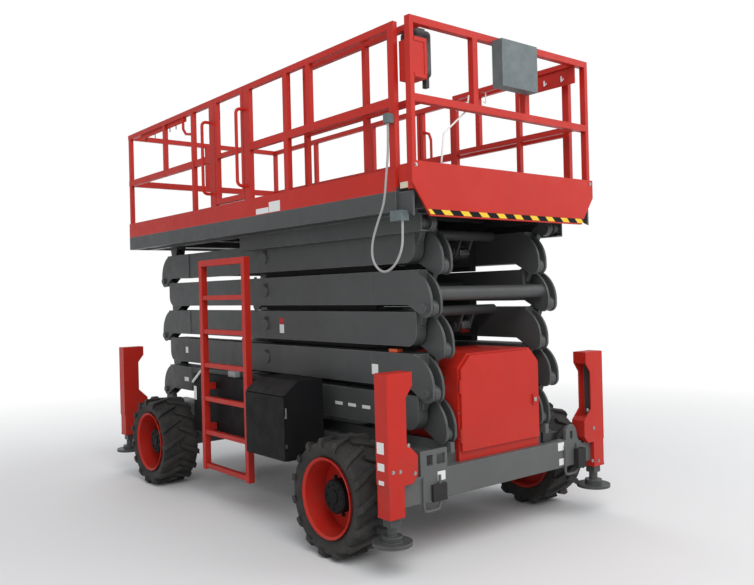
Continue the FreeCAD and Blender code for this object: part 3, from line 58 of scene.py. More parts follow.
def add_object(name, data):
    made = bpy.data.objects.new(name, data)
    bpy.context.scene.collection.objects.link(made)
    return made


# Camera, as fitted to the photograph.
CAMERA_PLACE = Vector((6.048, -4.345, 1.846))
CAMERA_YAW = math.radians(140.73)
CAMERA_PITCH = math.radians(-0.04)
CAMERA_ROLL = math.radians(-1.41)
PHOTO_WIDTH = 754
FOCAL_PIXELS = 785.3
SENSOR = 36.0
FARTHEST_SEEN = 200


def make_camera():
    forward = Vector((math.cos(CAMERA_PITCH) * math.cos(CAMERA_YAW),
                      math.cos(CAMERA_PITCH) * math.sin(CAMERA_YAW), math.sin(CAMERA_PITCH)))
    level_right = Vector((math.sin(CAMERA_YAW), -math.cos(CAMERA_YAW), 0))
    level_up = level_right.cross(forward)
    right = math.cos(CAMERA_ROLL) * level_right + math.sin(CAMERA_ROLL) * level_up
    up = -math.sin(CAMERA_ROLL) * level_right + math.cos(CAMERA_ROLL) * level_up
    data = bpy.data.cameras.new("camera")
    data.sensor_width = SENSOR
    data.sensor_fit = "HORIZONTAL"
    data.lens = FOCAL_PIXELS / PHOTO_WIDTH * SENSOR
    data.clip_end = FARTHEST_SEEN
    camera = add_object("camera", data)
    turn = Matrix((right, up, -forward)).transposed().to_4x4()
    camera.matrix_world = Matrix.Translation(CAMERA_PLACE) @ turn
    bpy.context.scene.camera = camera


make_camera()


# Materials. Each takes its pattern from object coordinates, so it stays put as the pieces move.

DUST = (0.11, 0.095, 0.08)
DUSTY_BELOW = 0.15
CLEAN_ABOVE = 1.05
# Paler edges: partly worn paint, partly a painted highlight where light catches the edges.
WORN_AND_HIGHLIT_EDGE = (0.30, 0.31, 0.31)
WORN_AND_HIGHLIT_RADIUS = 0.009
EDGE_RADIUS = 0.004
EDGE_SAMPLES = 4


def new_material(name):
    material = bpy.data.materials.new(name)
    material.use_nodes = True
    tree = material.node_tree
    shader = tree.nodes["Principled BSDF"]
    return material, tree, shader


def noise(tree, scale, detail, roughness=0.6):
    """A noise factor over object coordinates."""
    place = tree.nodes.new("ShaderNodeTexCoord")
    texture = tree.nodes.new("ShaderNodeTexNoise")
    texture.inputs["Scale"].default_value = scale
    texture.inputs["Detail"].default_value = detail
    texture.inputs["Roughness"].default_value = roughness
    tree.links.new(place.outputs["Object"], texture.inputs["Vector"])
    return texture.outputs["Fac"]


def ramp(tree, factor, low, high, low_value=0.0, high_value=1.0):
    """Maps factor from low..high to low_value..high_value, clamped."""
    node = tree.nodes.new("ShaderNodeMapRange")
    node.inputs["From Min"].default_value = low
    node.inputs["From Max"].default_value = high
    node.inputs["To Min"].default_value = low_value
    node.inputs["To Max"].default_value = high_value
    tree.links.new(factor, node.inputs["Value"])
    return node.outputs["Result"]


def blend_colours(tree, factor, first, second):
    """From first, at factor 0, to second, at factor 1. Each is a colour or a socket."""
    node = tree.nodes.new("ShaderNodeMix")
    node.data_type = "RGBA"
    for socket, value in ((node.inputs["A"], first), (node.inputs["B"], second)):
        if isinstance(value, tuple):
            socket.default_value = (*value, 1)
        else:
            tree.links.new(value, socket)
    tree.links.new(factor, node.inputs["Factor"])
    return node.outputs["Result"]


def times(tree, first, second):
    """The product of a socket and a socket or number."""
    node = tree.nodes.new("ShaderNodeMath")
    node.operation = "MULTIPLY"
    tree.links.new(first, node.inputs[0])
    if isinstance(second, float):
        node.inputs[1].default_value = second
    else:
        tree.links.new(second, node.inputs[1])
    return node.outputs["Value"]


def lowness(tree):
    """1 low down, where road dust settles, and 0 higher up."""
    place = tree.nodes.new("ShaderNodeTexCoord")
    split = tree.nodes.new("ShaderNodeSeparateXYZ")
    tree.links.new(place.outputs["Object"], split.inputs["Vector"])
    return ramp(tree, split.outputs["Z"], DUSTY_BELOW, CLEAN_ABOVE, 1.0, 0.0)


def bumped(tree, shader, height, strength, distance):
    node = tree.nodes.new("ShaderNodeBump")
    node.inputs["Strength"].default_value = strength
    node.inputs["Distance"].default_value = distance
    tree.links.new(height, node.inputs["Height"])
    tree.links.new(node.outputs["Normal"], shader.inputs["Normal"])


def rounded_normal(tree, radius):
    """The surface's direction with hard edges shaded as if they were rounded."""
    node = tree.nodes.new("ShaderNodeBevel")
    node.samples = EDGE_SAMPLES
    node.inputs["Radius"].default_value = radius
    return node.outputs["Normal"]


def edge_factor(tree, strength):
    """Up to strength near hard edges, in uneven patches, and 0 on flat faces: the mask of the paler edges,
    partly wear and partly a painted highlight.
    """
    flat = tree.nodes.new("ShaderNodeNewGeometry")
    node = tree.nodes.new("ShaderNodeVectorMath")
    node.operation = "DOT_PRODUCT"
    tree.links.new(rounded_normal(tree, WORN_AND_HIGHLIT_RADIUS), node.inputs[0])
    tree.links.new(flat.outputs["Normal"], node.inputs[1])
    edge = ramp(tree, node.outputs["Value"], 0.80, 0.98, 1.0, 0.0)
    worn_and_highlit_patches = ramp(tree, noise(tree, scale=11.0, detail=5.0), 0.35, 0.62, 0.15 * strength, strength)
    return times(tree, edge, worn_and_highlit_patches)


def paint(name, colour, roughness, faded, dust, shine, worn):
    """Sprayed paint, a little uneven in patches, with road dust low down and paler edges, partly worn and
    partly a painted highlight.
    """
    material, tree, shader = new_material(name)
    pale = tuple(channel * (1 + faded) + 0.01 * faded for channel in colour)
    patches = ramp(tree, noise(tree, scale=1.7, detail=5.0), 0.40, 0.75)
    base = blend_colours(tree, patches, colour, pale)
    grime = ramp(tree, noise(tree, scale=6.0, detail=6.0, roughness=0.7), 0.42, 0.72)
    dusty = times(tree, times(tree, grime, lowness(tree)), dust)
    colour_here = blend_colours(tree, dusty, base, DUST)
    # The paler edges mix wear with a painted highlight.
    if worn:
        colour_here = blend_colours(tree, edge_factor(tree, worn), colour_here, WORN_AND_HIGHLIT_EDGE)
    tree.links.new(colour_here, shader.inputs["Base Color"])
    gloss = ramp(tree, noise(tree, scale=9.0, detail=3.0), 0.3, 0.7, roughness - 0.06, roughness + 0.10)
    tree.links.new(gloss, shader.inputs["Roughness"])
    shader.inputs["Specular IOR Level"].default_value = shine
    tree.links.new(rounded_normal(tree, EDGE_RADIUS), shader.inputs["Normal"])
    return material


def rubber(name, colour, dust):
    """Matt rubber with a fine grain, dusty in patches."""
    material, tree, shader = new_material(name)
    grime = ramp(tree, noise(tree, scale=7.0, detail=6.0, roughness=0.7), 0.35, 0.75, 0.0, dust)
    tree.links.new(blend_colours(tree, grime, colour, DUST), shader.inputs["Base Color"])
    shader.inputs["Roughness"].default_value = 0.78
    bumped(tree, shader, noise(tree, scale=180.0, detail=2.0), 0.15, 0.001)
    return material


def metal(name, colour, roughness, worn):
    """Bare or plated metal, with duller stains and fine scuffs."""
    material, tree, shader = new_material(name)
    dull = tuple(channel * 0.55 for channel in colour)
    stains = ramp(tree, noise(tree, scale=5.0, detail=6.0, roughness=0.65), 0.5, 0.8, 0.0, worn * 4)
    tree.links.new(blend_colours(tree, stains, colour, dull), shader.inputs["Base Color"])
    shader.inputs["Metallic"].default_value = 1.0
    scuffs = ramp(tree, noise(tree, scale=40.0, detail=3.0), 0.3, 0.7, roughness, roughness + worn)
    tree.links.new(scuffs, shader.inputs["Roughness"])
    return material


def plastic(name, colour, roughness):
    """Moulded plastic with a fine grain."""
    material, tree, shader = new_material(name)
    pale = tuple(channel + (1 - channel) * 0.05 for channel in colour)
    mottle = ramp(tree, noise(tree, scale=14.0, detail=4.0), 0.35, 0.75)
    tree.links.new(blend_colours(tree, mottle, colour, pale), shader.inputs["Base Color"])
    shader.inputs["Roughness"].default_value = roughness
    bumped(tree, shader, noise(tree, scale=320.0, detail=2.0), 0.08, 0.0005)
    return material


def floor_plate(name):
    """Stained floor plate with a shallow pattern of staggered bars."""
    material, tree, shader = new_material(name)
    stains = ramp(tree, noise(tree, scale=3.0, detail=6.0, roughness=0.7), 0.35, 0.75)
    tree.links.new(blend_colours(tree, stains, (0.20, 0.20, 0.20), (0.09, 0.09, 0.09)),
                   shader.inputs["Base Color"])
    shader.inputs["Metallic"].default_value = 0.7
    shader.inputs["Roughness"].default_value = 0.5
    place = tree.nodes.new("ShaderNodeTexCoord")
    bricks = tree.nodes.new("ShaderNodeTexBrick")
    bricks.inputs["Scale"].default_value = 30.0
    tree.links.new(place.outputs["Object"], bricks.inputs["Vector"])
    bumped(tree, shader, bricks.outputs["Fac"], 0.3, 0.001)
    return material


# Colour, roughness, how much paler the faded patches are, dust, shine, and the strength of the paler edges,
# which are partly wear and partly a painted highlight.
PAINTS = {
    "red_paint": ((0.455, 0.020, 0.012), 0.40, 0.12, 0.30, 0.22, 0.0),
    "dark_grey_paint": ((0.058, 0.061, 0.061), 0.42, 0.15, 0.45, 0.3, 0.6),
    "frame_paint": ((0.095, 0.100, 0.100), 0.45, 0.15, 0.7, 0.3, 0.4),
    "black_paint": ((0.007, 0.007, 0.008), 0.55, 0.2, 0.12, 0.12, 0.0),
    "grey_paint": ((0.13, 0.14, 0.15), 0.45, 0.1, 0.2, 0.3, 0.0),
    "white_paint": ((0.72, 0.72, 0.71), 0.4, 0.05, 0.2, 0.3, 0.0),
    "yellow_paint": ((0.80, 0.50, 0.03), 0.4, 0.05, 0.1, 0.3, 0.0),
    "cream_paint": ((0.62, 0.56, 0.42), 0.4, 0.05, 0.1, 0.3, 0.0),
    "orange_paint": ((0.66, 0.10, 0.025), 0.4, 0.05, 0.1, 0.3, 0.0),
}
# Colour and dust.
RUBBERS = {
    "tyre_rubber": ((0.014, 0.014, 0.014), 0.35),
    "hose_rubber": ((0.010, 0.010, 0.010), 0.1),
    "cable_sheath": ((0.34, 0.34, 0.33), 0.1),
}
# Colour and roughness.
PLASTICS = {
    "case_plastic": ((0.014, 0.014, 0.016), 0.42),
    "grey_plastic": ((0.085, 0.11, 0.115), 0.5),
    "pale_plastic": ((0.34, 0.36, 0.37), 0.5),
}
# Colour, roughness and wear.
METALS = {
    "bright_steel": ((0.72, 0.73, 0.75), 0.12, 0.08),
    "zinc_steel": ((0.42, 0.42, 0.41), 0.32, 0.12),
    "iron": ((0.09, 0.09, 0.09), 0.5, 0.1),
}


def make_materials():
    made = {"floor_steel": floor_plate("floor_steel")}
    for recipe, rows in ((paint, PAINTS), (rubber, RUBBERS), (plastic, PLASTICS), (metal, METALS)):
        for name, values in rows.items():
            made[name] = recipe(name, *values)
    return made


MATERIALS = make_materials()

# CAD nodes in the chassis's paler grey. The others are painted as their slot in the record says.
FRAME_GREY_NODES = ("chassis_frame", "front_axle", "rear_axle", "knuckle_left", "knuckle_right")


def paint_cad():
    slots = {row["node"]: row["material_slot"] for row in frame["record"]["subparts"]}
    for name, node in frame["nodes"].items():
        wanted = "frame_paint" if name in FRAME_GREY_NODES else slots[name]
        node.data.materials.clear()
        node.data.materials.append(MATERIALS[wanted])


paint_cad()


# Stage: pale floor that fades to white, white background, soft light.

FLOOR_REACH = 60.0
FADE_START = 3.5
FADE_END = 9.0
LAMP_AIM = Vector((0, 0, 1.6))
# Place, size and power.
LAMPS = {
    "key": ((9.0, -4.5, 9.0), 7.0, 620.0),
    "fill": ((8.0, 6.5, 7.0), 8.0, 330.0),
    "back": ((-9.0, 2.0, 8.0), 8.0, 260.0),
}


def floor_material():
    material, tree, shader = new_material("floor")
    shader.inputs["Base Color"].default_value = (0.80, 0.80, 0.80, 1)
    shader.inputs["Roughness"].default_value = 0.85
    glow = tree.nodes.new("ShaderNodeEmission")
    glow.inputs["Color"].default_value = (1, 1, 1, 1)
    place = tree.nodes.new("ShaderNodeTexCoord")
    away = tree.nodes.new("ShaderNodeVectorMath")
    away.operation = "LENGTH"
    tree.links.new(place.outputs["Object"], away.inputs[0])
    blend = tree.nodes.new("ShaderNodeMixShader")
    tree.links.new(ramp(tree, away.outputs["Value"], FADE_START, FADE_END), blend.inputs["Fac"])
    tree.links.new(shader.outputs["BSDF"], blend.inputs[1])
    tree.links.new(glow.outputs["Emission"], blend.inputs[2])
    tree.links.new(blend.outputs["Shader"], tree.nodes["Material Output"].inputs["Surface"])
    return material


def make_floor():
    mesh = bpy.data.meshes.new("floor")
    corners = [(-FLOOR_REACH, -FLOOR_REACH, 0), (FLOOR_REACH, -FLOOR_REACH, 0),
               (FLOOR_REACH, FLOOR_REACH, 0), (-FLOOR_REACH, FLOOR_REACH, 0)]
    mesh.from_pydata(corners, [], [(0, 1, 2, 3)])
    mesh.materials.append(floor_material())
    floor = add_object("floor", mesh)


def make_world():
    """A soft sky as a light, seen as plain white."""
    world = bpy.data.worlds.new("world")
    bpy.context.scene.world = world
    world.use_nodes = True
    nodes = world.node_tree.nodes
    links = world.node_tree.links
    sky = nodes["Background"]
    sky.inputs["Color"].default_value = (0.95, 0.97, 1.0, 1)
    sky.inputs["Strength"].default_value = 0.62
    white = nodes.new("ShaderNodeBackground")
    white.inputs["Color"].default_value = (1, 1, 1, 1)
    path = nodes.new("ShaderNodeLightPath")
    mix = nodes.new("ShaderNodeMixShader")
    links.new(path.outputs["Is Camera Ray"], mix.inputs["Fac"])
    links.new(sky.outputs["Background"], mix.inputs[1])
    links.new(white.outputs["Background"], mix.inputs[2])
    links.new(mix.outputs["Shader"], nodes["World Output"].inputs["Surface"])


def make_lamps():
    for name, (place, size, power) in LAMPS.items():
        data = bpy.data.lights.new(name, "AREA")
        data.size = size
        data.energy = power
        lamp = add_object(name, data)
        lamp.location = place
        lamp.rotation_euler = (LAMP_AIM - Vector(place)).to_track_quat("-Z", "Y").to_euler()


make_floor()
make_world()
make_lamps()
bpy.context.scene.view_settings.view_transform = "Standard"


# Faces that pieces lie on: distances from the middle of the machine, and corners of CAD nodes.

CLEAR = 0.0002  # from such a face to the piece on it
BEAM_FACE = 2.180
ARM_FACE = 0.672
CLEVIS_FACE = 0.680
TRAY_FACE = 0.930
COVER_FACE = 1.156
TOE_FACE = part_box("toe_boards")[1].y
PLATE_LOW, PLATE_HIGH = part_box("front_plate")
HOUSINGS_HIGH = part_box("outrigger_housings")[1]
HOOD_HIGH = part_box("engine_hood")[1]
HOOD_DOOR_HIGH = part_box("hood_door")[1]

# Bolt heads: radius and height above the face.
WHEEL_NUT = (0.013, 0.022)
HUB_BOLT = (0.009, 0.007)
BODY_BOLT = (0.009, 0.008)
KEEPER_BOLT = (0.008, 0.007)
HOOD_BOLT = (0.007, 0.005)
HINGE_BOLT = (0.005, 0.004)
WASHER_THICK = 0.002


# Geometry helpers. A builder is the mesh that a piece is made in.


def place_mesh(name, builder, material, body):
    """Makes an object from a builder, paints it and lets it ride on a body."""
    mesh = bpy.data.meshes.new(name)
    builder.to_mesh(mesh)
    builder.free()
    mesh.materials.append(MATERIALS[material])
    piece = add_object(name, mesh)
    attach(piece, body)
    return piece


def add_box(builder, low, high):
    """A box from its low corner to its high corner."""
    for vertex in bmesh.ops.create_cube(builder, size=1.0)["verts"]:
        share = vertex.co + Vector((0.5, 0.5, 0.5))
        vertex.co = [low[axis] + share[axis] * (high[axis] - low[axis]) for axis in (X, Y, Z)]


def add_bar(builder, start, end, radius, sides, tip=None):
    """A round bar from start to end. It tapers to the radius tip, if that is given."""
    start = Vector(start)
    end = Vector(end)
    along = end - start
    turn = along.to_track_quat("Z", "Y").to_matrix().to_4x4()
    made = bmesh.ops.create_cone(builder, cap_ends=True, segments=sides, radius1=radius,
                                 radius2=radius if tip is None else tip, depth=along.length)["verts"]
    bmesh.ops.transform(builder, matrix=Matrix.Translation((start + end) / 2) @ turn, verts=made)


def add_bent_bar(builder, path, radius):
    """Round bars from point to point, with a ball at each bend."""
    for start, end in zip(path, path[1:]):
        add_bar(builder, start, end, radius, 16)
        bmesh.ops.create_uvsphere(builder, u_segments=16, v_segments=8, radius=radius,
                                  matrix=Matrix.Translation(end))


def add_bolt(builder, place, axis, side, head):
    """A hexagon head on a washer. side is +1 or -1 along the axis."""
    radius, tall = head
    place = Vector(place)
    out = Vector([side if index == axis else 0 for index in (X, Y, Z)])
    add_bar(builder, place, place + out * WASHER_THICK, radius * 1.5, 16)
    add_bar(builder, place + out * WASHER_THICK, place + out * tall, radius, 6)


def add_prism(builder, outline, axis, low, high):
    """Extrudes an outline along an axis. outline holds places on the two other axes, in X, Y, Z order."""
    others = [index for index in (X, Y, Z) if index != axis]

    def ring(level):
        corners = []
        for place in outline:
            corner = [0.0, 0.0, 0.0]
            corner[axis] = level
            corner[others[0]], corner[others[1]] = place
            corners.append(builder.verts.new(corner))
        return corners

    close_rings(builder, [ring(low), ring(high)])


def close_rings(builder, rings):
    """Walls from ring to ring, and a face at each end."""
    faces = [builder.faces.new(rings[0]), builder.faces.new(rings[-1])]
    for here, ahead in zip(rings, rings[1:]):
        for index in range(len(here)):
            after = (index + 1) % len(here)
            faces.append(builder.faces.new((here[index], here[after], ahead[after], ahead[index])))
    bmesh.ops.recalc_face_normals(builder, faces=faces)


def boxes(name, material, body, rows, edge, segments=2):
    """Boxes of one colour on one body, with bevelled edges. rows holds the low and high corner of each."""
    builder = bmesh.new()
    for low, high in rows:
        add_box(builder, low, high)
    piece = place_mesh(name, builder, material, body)
    change = piece.modifiers.new("bevel", "BEVEL")
    change.width = edge
    change.segments = segments
    change.limit_method = "ANGLE"
    return piece


def on_side(side, near, far):
    """A range of distances from the middle, as low and high Y on one side."""
    return sorted((side * near, side * far))


def side_boxes(along, across, up):
    """The corners of a box on the right and of its mirror image on the left, from ranges in X, Y and Z."""
    rows = []
    for side in SIDES:
        low_y, high_y = on_side(side, *across)
        rows.append(((along[0], low_y, up[0]), (along[1], high_y, up[1])))
    return rows


# Wheels: tyres with a smooth carcass in place of the faceted one and the same lugs, hub covers and nuts.

LUGS = 15
TYRE_RADIUS = 0.420
TYRE_WIDTH = 0.370
# Radius, and distance from the tyre's side.
TYRE_PROFILE = [
    (0.2776, 0.042), (0.292, 0.036), (0.318, 0.026), (0.350, 0.016), (0.368, 0.0105), (0.376, 0.011),
    (0.381, 0.018), (0.385, 0.032), (0.3872, 0.048), (0.388, 0.075),
]
TYRE_STEPS = 120
LUG_START_WIDTH = 0.038
LUG_END_WIDTH = 0.048
LUG_BEVEL = 0.022
LUG_OVERLAP = 0.020  # past the middle of the tread
WHEELS = [("front_left", 1), ("front_right", -1), ("rear_left", 1), ("rear_right", -1)]


def add_lathe(builder, profile, segments):
    """A ring about the Y axis through a closed profile of radius and place along the axis."""
    rings = []
    for step in range(segments):
        turn = 2 * math.pi * step / segments
        rings.append([builder.verts.new((radius * math.sin(turn), along, radius * math.cos(turn)))
                      for radius, along in profile])
    for step in range(segments):
        here = rings[step]
        ahead = rings[(step + 1) % segments]
        for index in range(len(profile)):
            after = (index + 1) % len(profile)
            builder.faces.new((here[index], here[after], ahead[after], ahead[index])).smooth = True


def lug_section(start, end, foot, crest):
    """A lug's outline: places round the tyre and heights, with a narrower foot and eased top corners."""
    ease = 0.004
    tuck = 0.003
    rise = 0.01
    return ((start + tuck, foot), (start, foot + rise), (start, crest - ease), (start + ease, crest),
            (end - ease, crest), (end, crest - ease), (end, foot + rise), (end - tuck, foot))


def add_lug(builder, number):
    """A slanted lug from past the middle of the tread to its side. Odd ones are on the other half."""
    share = 2 * math.pi / LUGS
    top = TYRE_RADIUS * math.cos(share * 3 / 8) / math.cos(share / 8)
    reach = top * math.tan(share * 3 / 8)
    inner = TYRE_WIDTH / 2 - LUG_OVERLAP
    knee = TYRE_WIDTH - LUG_BEVEL
    slope = (2 * reach - LUG_START_WIDTH) / (knee - inner)
    outer_reach = reach + slope * LUG_BEVEL
    outer_start = outer_reach - LUG_END_WIDTH
    # Place along the axle, start and end round the tyre, foot and crest.
    rows = [
        (inner, -reach, -reach + LUG_START_WIDTH, 0.378, top),
        (knee, outer_start - slope * LUG_BEVEL * 0.9, reach, 0.370, top),
        (TYRE_WIDTH, outer_start, outer_reach, 0.352, top - LUG_BEVEL),
    ]
    turn = Matrix.Rotation(math.pi * number / LUGS, 3, "Y")
    rings = []
    for along, start, end, foot, crest in rows:
        place = TYRE_WIDTH - along if number % 2 else along
        rings.append([builder.verts.new(turn @ Vector((around, place, height)))
                      for around, height in lug_section(start, end, foot, crest)])
    close_rings(builder, rings)


def axle_middle(name):
    """Where the line of a wheel's axle meets the middle of the machine."""
    low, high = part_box(f"tyre_{name}")
    return Vector(((low.x + high.x) / 2, 0, (low.z + high.z) / 2))


def make_tyre(name):
    builder = bmesh.new()
    mirror = [(radius, TYRE_WIDTH - along) for radius, along in reversed(TYRE_PROFILE)]
    add_lathe(builder, TYRE_PROFILE + mirror, TYRE_STEPS)
    for number in range(2 * LUGS):
        add_lug(builder, number)
    low_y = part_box(f"tyre_{name}")[0].y
    builder.transform(Matrix.Translation(axle_middle(name) + Vector((0, low_y, 0))))
    tyre = place_mesh(f"lugged_tyre_{name}", builder, "tyre_rubber", f"wheel_{name}")
    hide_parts(f"tyre_{name}")


# Distances of the hub cover's and the rim's faces from the middle of the machine.
HUB_FACE = 1.131
RIM_FACE = 1.0052
# The hub cover's drum, chamfer and boss: start and end along the axle, radius, sides and radius at the end.
HUB_STEPS = [
    (1.006, 1.1185, 0.1206, 48, None),
    (1.118, HUB_FACE, 0.1206, 48, 0.109),
    (1.12, 1.139, 0.05, 32, None),
]


HUB_BOLT_CIRCLE = 0.085
NUT_CIRCLE = 0.165


def add_bolt_circle(builder, centre, side, circle, turns, head):
    """Bolts at a distance from the axle, at the given turns. centre is on the face that they lie on."""
    for turn in turns:
        spot = centre + Vector((circle * math.sin(turn), 0, circle * math.cos(turn)))
        add_bolt(builder, spot, Y, side, head)


def make_hub(name, side):
    middle = axle_middle(name)
    out = Vector((0, side, 0))
    builder = bmesh.new()
    for start, end, radius, sides, tip in HUB_STEPS:
        add_bar(builder, middle + out * start, middle + out * end, radius, sides, tip)
    turns = [2 * math.pi * step / 8 for step in range(8)]
    add_bolt_circle(builder, middle + out * HUB_FACE, side, HUB_BOLT_CIRCLE, turns, HUB_BOLT)
    place_mesh(f"hub_cover_{name}", builder, "black_paint", f"wheel_{name}")
    builder = bmesh.new()
    turns = [2 * math.pi * (step + 0.5) / 10 for step in range(10)]
    add_bolt_circle(builder, middle + out * RIM_FACE, side, NUT_CIRCLE, turns, WHEEL_NUT)
    place_mesh(f"wheel_nuts_{name}", builder, "iron", f"wheel_{name}")


for name, side in WHEELS:
    make_tyre(name)
    make_hub(name, side)


# Front plate: hazard stripes along its lower edge, and bolts in its upper corners. The plate stays blank.

PLATE_FACE = PLATE_HIGH.x
STRIPES_LOW = PLATE_LOW.z + 0.010
STRIPES_HIGH = STRIPES_LOW + 0.035
STRIPES_HALF_LOW = 0.815
STRIPES_HALF_HIGH = 0.838
STRIPE_MARGIN = 0.001
STRIPE_COUNT = 9
STRIPE_START = -0.716
STRIPE_PITCH = 0.180
STRIPE_WIDTH = 0.080
STRIPE_LEAN = 0.035


def make_stripes():
    builder = bmesh.new()
    band = [(-STRIPES_HALF_LOW, STRIPES_LOW), (STRIPES_HALF_LOW, STRIPES_LOW),
            (STRIPES_HALF_HIGH, STRIPES_HIGH), (-STRIPES_HALF_HIGH, STRIPES_HIGH)]
    add_prism(builder, band, X, PLATE_FACE + CLEAR, PLATE_FACE + 0.0010)
    place_mesh("stripe_base", builder, "black_paint", "rollout")
    low = STRIPES_LOW + STRIPE_MARGIN
    high = STRIPES_HIGH - STRIPE_MARGIN
    outlines = []
    for number in range(STRIPE_COUNT):
        start = STRIPE_START + number * STRIPE_PITCH
        foot = start + STRIPE_LEAN
        outlines.append([(foot, low), (foot + STRIPE_WIDTH, low),
                         (start + STRIPE_WIDTH, high), (start, high)])
    # The first stripe is cut off by the band's slanted end.
    outlines.append([(-0.812, low), (-0.768, low), (-0.803, high), (-0.834, high)])
    builder = bmesh.new()
    for outline in outlines:
        add_prism(builder, outline, X, PLATE_FACE + 0.0008, PLATE_FACE + 0.0020)
    place_mesh("hazard_stripes", builder, "yellow_paint", "rollout")


def make_front_plate_bolts():
    builder = bmesh.new()
    for side in SIDES:
        add_bolt(builder, (PLATE_FACE, side * 0.93, 2.662), X, 1, BODY_BOLT)
    place_mesh("front_plate_bolts", builder, "zinc_steel", "rollout")


make_stripes()
make_front_plate_bolts()


# Small blank plates where the machine carries stickers, and one white patch that is a painted highlight on
# a pin.

STICKER_THICK = 0.0013
STICKER_EDGE = 0.0004
# The axis that a face looks along, its place on it and the way out.
STICKER_FACES = {
    "beam": (X, BEAM_FACE + CLEAR, 1),
    "toe_board": (Y, -TOE_FACE - CLEAR, -1),
    "arm": (Y, -ARM_FACE - CLEAR, -1),
    "clevis": (Y, -CLEVIS_FACE - CLEAR, -1),
    "tray": (Y, -TRAY_FACE - CLEAR, -1),
    "leg": (Y, -COVER_FACE - CLEAR, -1),
}
# Name, body, face, range across the face and range in height.
STICKERS = [
    ("beam_plate_left", "chassis", "beam", (0.602, 0.676), (0.568, 0.631)),
    ("beam_plate_left_low", "chassis", "beam", (0.613, 0.671), (0.454, 0.506)),
    ("beam_plate_right", "chassis", "beam", (-0.693, -0.620), (0.559, 0.622)),
    ("toe_plate_rear", "platform", "toe_board", (0.335, 0.533), (2.515, 2.561)),
    ("toe_plate_front", "platform", "toe_board", (0.540, 0.708), (2.515, 2.600)),
    ("arm_plate_second", "outer_2", "clevis", (1.484, 1.559), (1.236, 1.312)),
    # Not a sticker: a white patch as a painted highlight on the rear pin of the second outer arm.
    ("pin_highlight_second_rear", "outer_2", "arm", (-1.651, -1.594), (1.255, 1.319)),
    ("arm_plate_third", "outer_3", "arm", (0.205, 0.275), (1.510, 1.585)),
    ("arm_plate_first_1", "outer_1", "arm", (1.000, 1.097), (0.966, 0.992)),
    ("arm_plate_first_2", "outer_1", "arm", (1.170, 1.267), (0.966, 0.992)),
    ("arm_plate_first_3", "outer_1", "arm", (1.345, 1.443), (0.966, 0.992)),
    ("arm_plate_first_4", "outer_1", "arm", (1.507, 1.592), (0.966, 0.992)),
    ("arm_plate_first_rear", "outer_1", "clevis", (-1.680, -1.580), (0.958, 1.001)),
    ("tray_plate", "chassis", "tray", (-0.955, -0.900), (0.855, 0.985)),
    ("leg_plate_upper", "chassis", "leg", (2.107, 2.178), (0.803, 0.878)),
    ("leg_plate_middle", "chassis", "leg", (2.110, 2.178), (0.694, 0.744)),
    ("leg_plate_lower", "chassis", "leg", (2.118, 2.172), (0.603, 0.632)),
]


def make_sticker(name, body, face, across, up, material="white_paint"):
    axis, place, out = STICKER_FACES[face]
    near, far = sorted((place, place + out * STICKER_THICK))
    if axis == X:
        corners = (near, across[0], up[0]), (far, across[1], up[1])
    else:
        corners = (across[0], near, up[0]), (across[1], far, up[1])
    boxes(name, material, body, [corners], STICKER_EDGE)


for sticker in STICKERS:
    make_sticker(*sticker)
make_sticker("arm_plate_red", "outer_3", "arm", (0.205, 0.275), (1.590, 1.640), "red_paint")
boxes("arm_block_orange", "orange_paint", "outer_2", [((1.66, -0.66, 1.4052), (1.75, -0.60, 1.430))], 0.003)


# Front beam: rubber blocks and the valve block that stands on it.

BEAM_TOP = 0.640


def make_beam_trim():
    start = BEAM_FACE + 0.0001
    boxes("beam_blocks", "hose_rubber", "chassis", [
        ((start, -0.755, 0.427), (2.204, -0.625, 0.543)),
        ((start, 0.800, 0.408), (2.226, 0.8985, 0.562)),
    ], 0.004)
    valve_top = 0.735
    boxes("valve_block", "iron", "chassis", [
        ((2.02, 0.50, BEAM_TOP), (2.12, 0.60, valve_top)),
        ((2.03, 0.62, BEAM_TOP), (2.10, 0.70, 0.700)),
    ], 0.003)
    builder = bmesh.new()
    for across in (0.52, 0.545, 0.57):
        add_bar(builder, (2.07, across, valve_top), (2.07, across, 0.760), 0.009, 12)
    place_mesh("valve_fittings", builder, "zinc_steel", "chassis")


# Outrigger housings: bolts on the front faces, and a cover and a lip on the sides.

# Place across and height.
HOUSING_BOLTS = [(-1.115, 0.689), (-1.055, 0.685), (-0.980, 0.845), (-0.928, 0.655),
                 (0.942, 0.857), (1.021, 0.701), (0.994, 0.440), (1.076, 0.427)]


def make_housing_trim():
    builder = bmesh.new()
    for across, height in HOUSING_BOLTS:
        add_bolt(builder, (HOUSINGS_HIGH.x, across, height), X, 1, BODY_BOLT)
    place_mesh("housing_bolts", builder, "zinc_steel", "chassis")
    side_face = HOUSINGS_HIGH.y + 0.0001
    rows = []
    for along in ((2.094, 2.216), (-2.261, -2.139)):
        rows += side_boxes(along, (side_face, COVER_FACE), (0.600, 1.318))
        rows += side_boxes(along, (side_face, COVER_FACE - 0.003), (0.386, 0.404))
    boxes("housing_covers", "red_paint", "chassis", rows, 0.001)


# Cabinets: the trays' rear ends, a pipe and a sensor on the right tray, and the hinges of the right door.

def make_cabinet_trim():
    boxes("tray_ends", "black_paint", "chassis",
          side_boxes((-0.96, -0.7003), (0.827, TRAY_FACE), (0.56, 1.11)), 0.003)
    builder = bmesh.new()
    add_bar(builder, (-0.950, -0.942, 1.025), (-0.769, -0.942, 1.144), 0.0125, 16)
    place_mesh("tray_pipe", builder, "white_paint", "chassis")
    boxes("level_sensor", "pale_plastic", "chassis",
          [((-0.33, -0.90, 1.1102), (-0.20, -0.85, 1.165))], 0.004)
    boxes("door_hinges", "zinc_steel", "chassis", [
        ((1.0502, -1.180, 0.690), (1.060, -1.166, 0.720)),
        ((1.0502, -1.180, 0.914), (1.060, -1.166, 0.991)),
    ], 0.001)


# Hood: bolts of its hinge strip and its sides, and the door's handle.

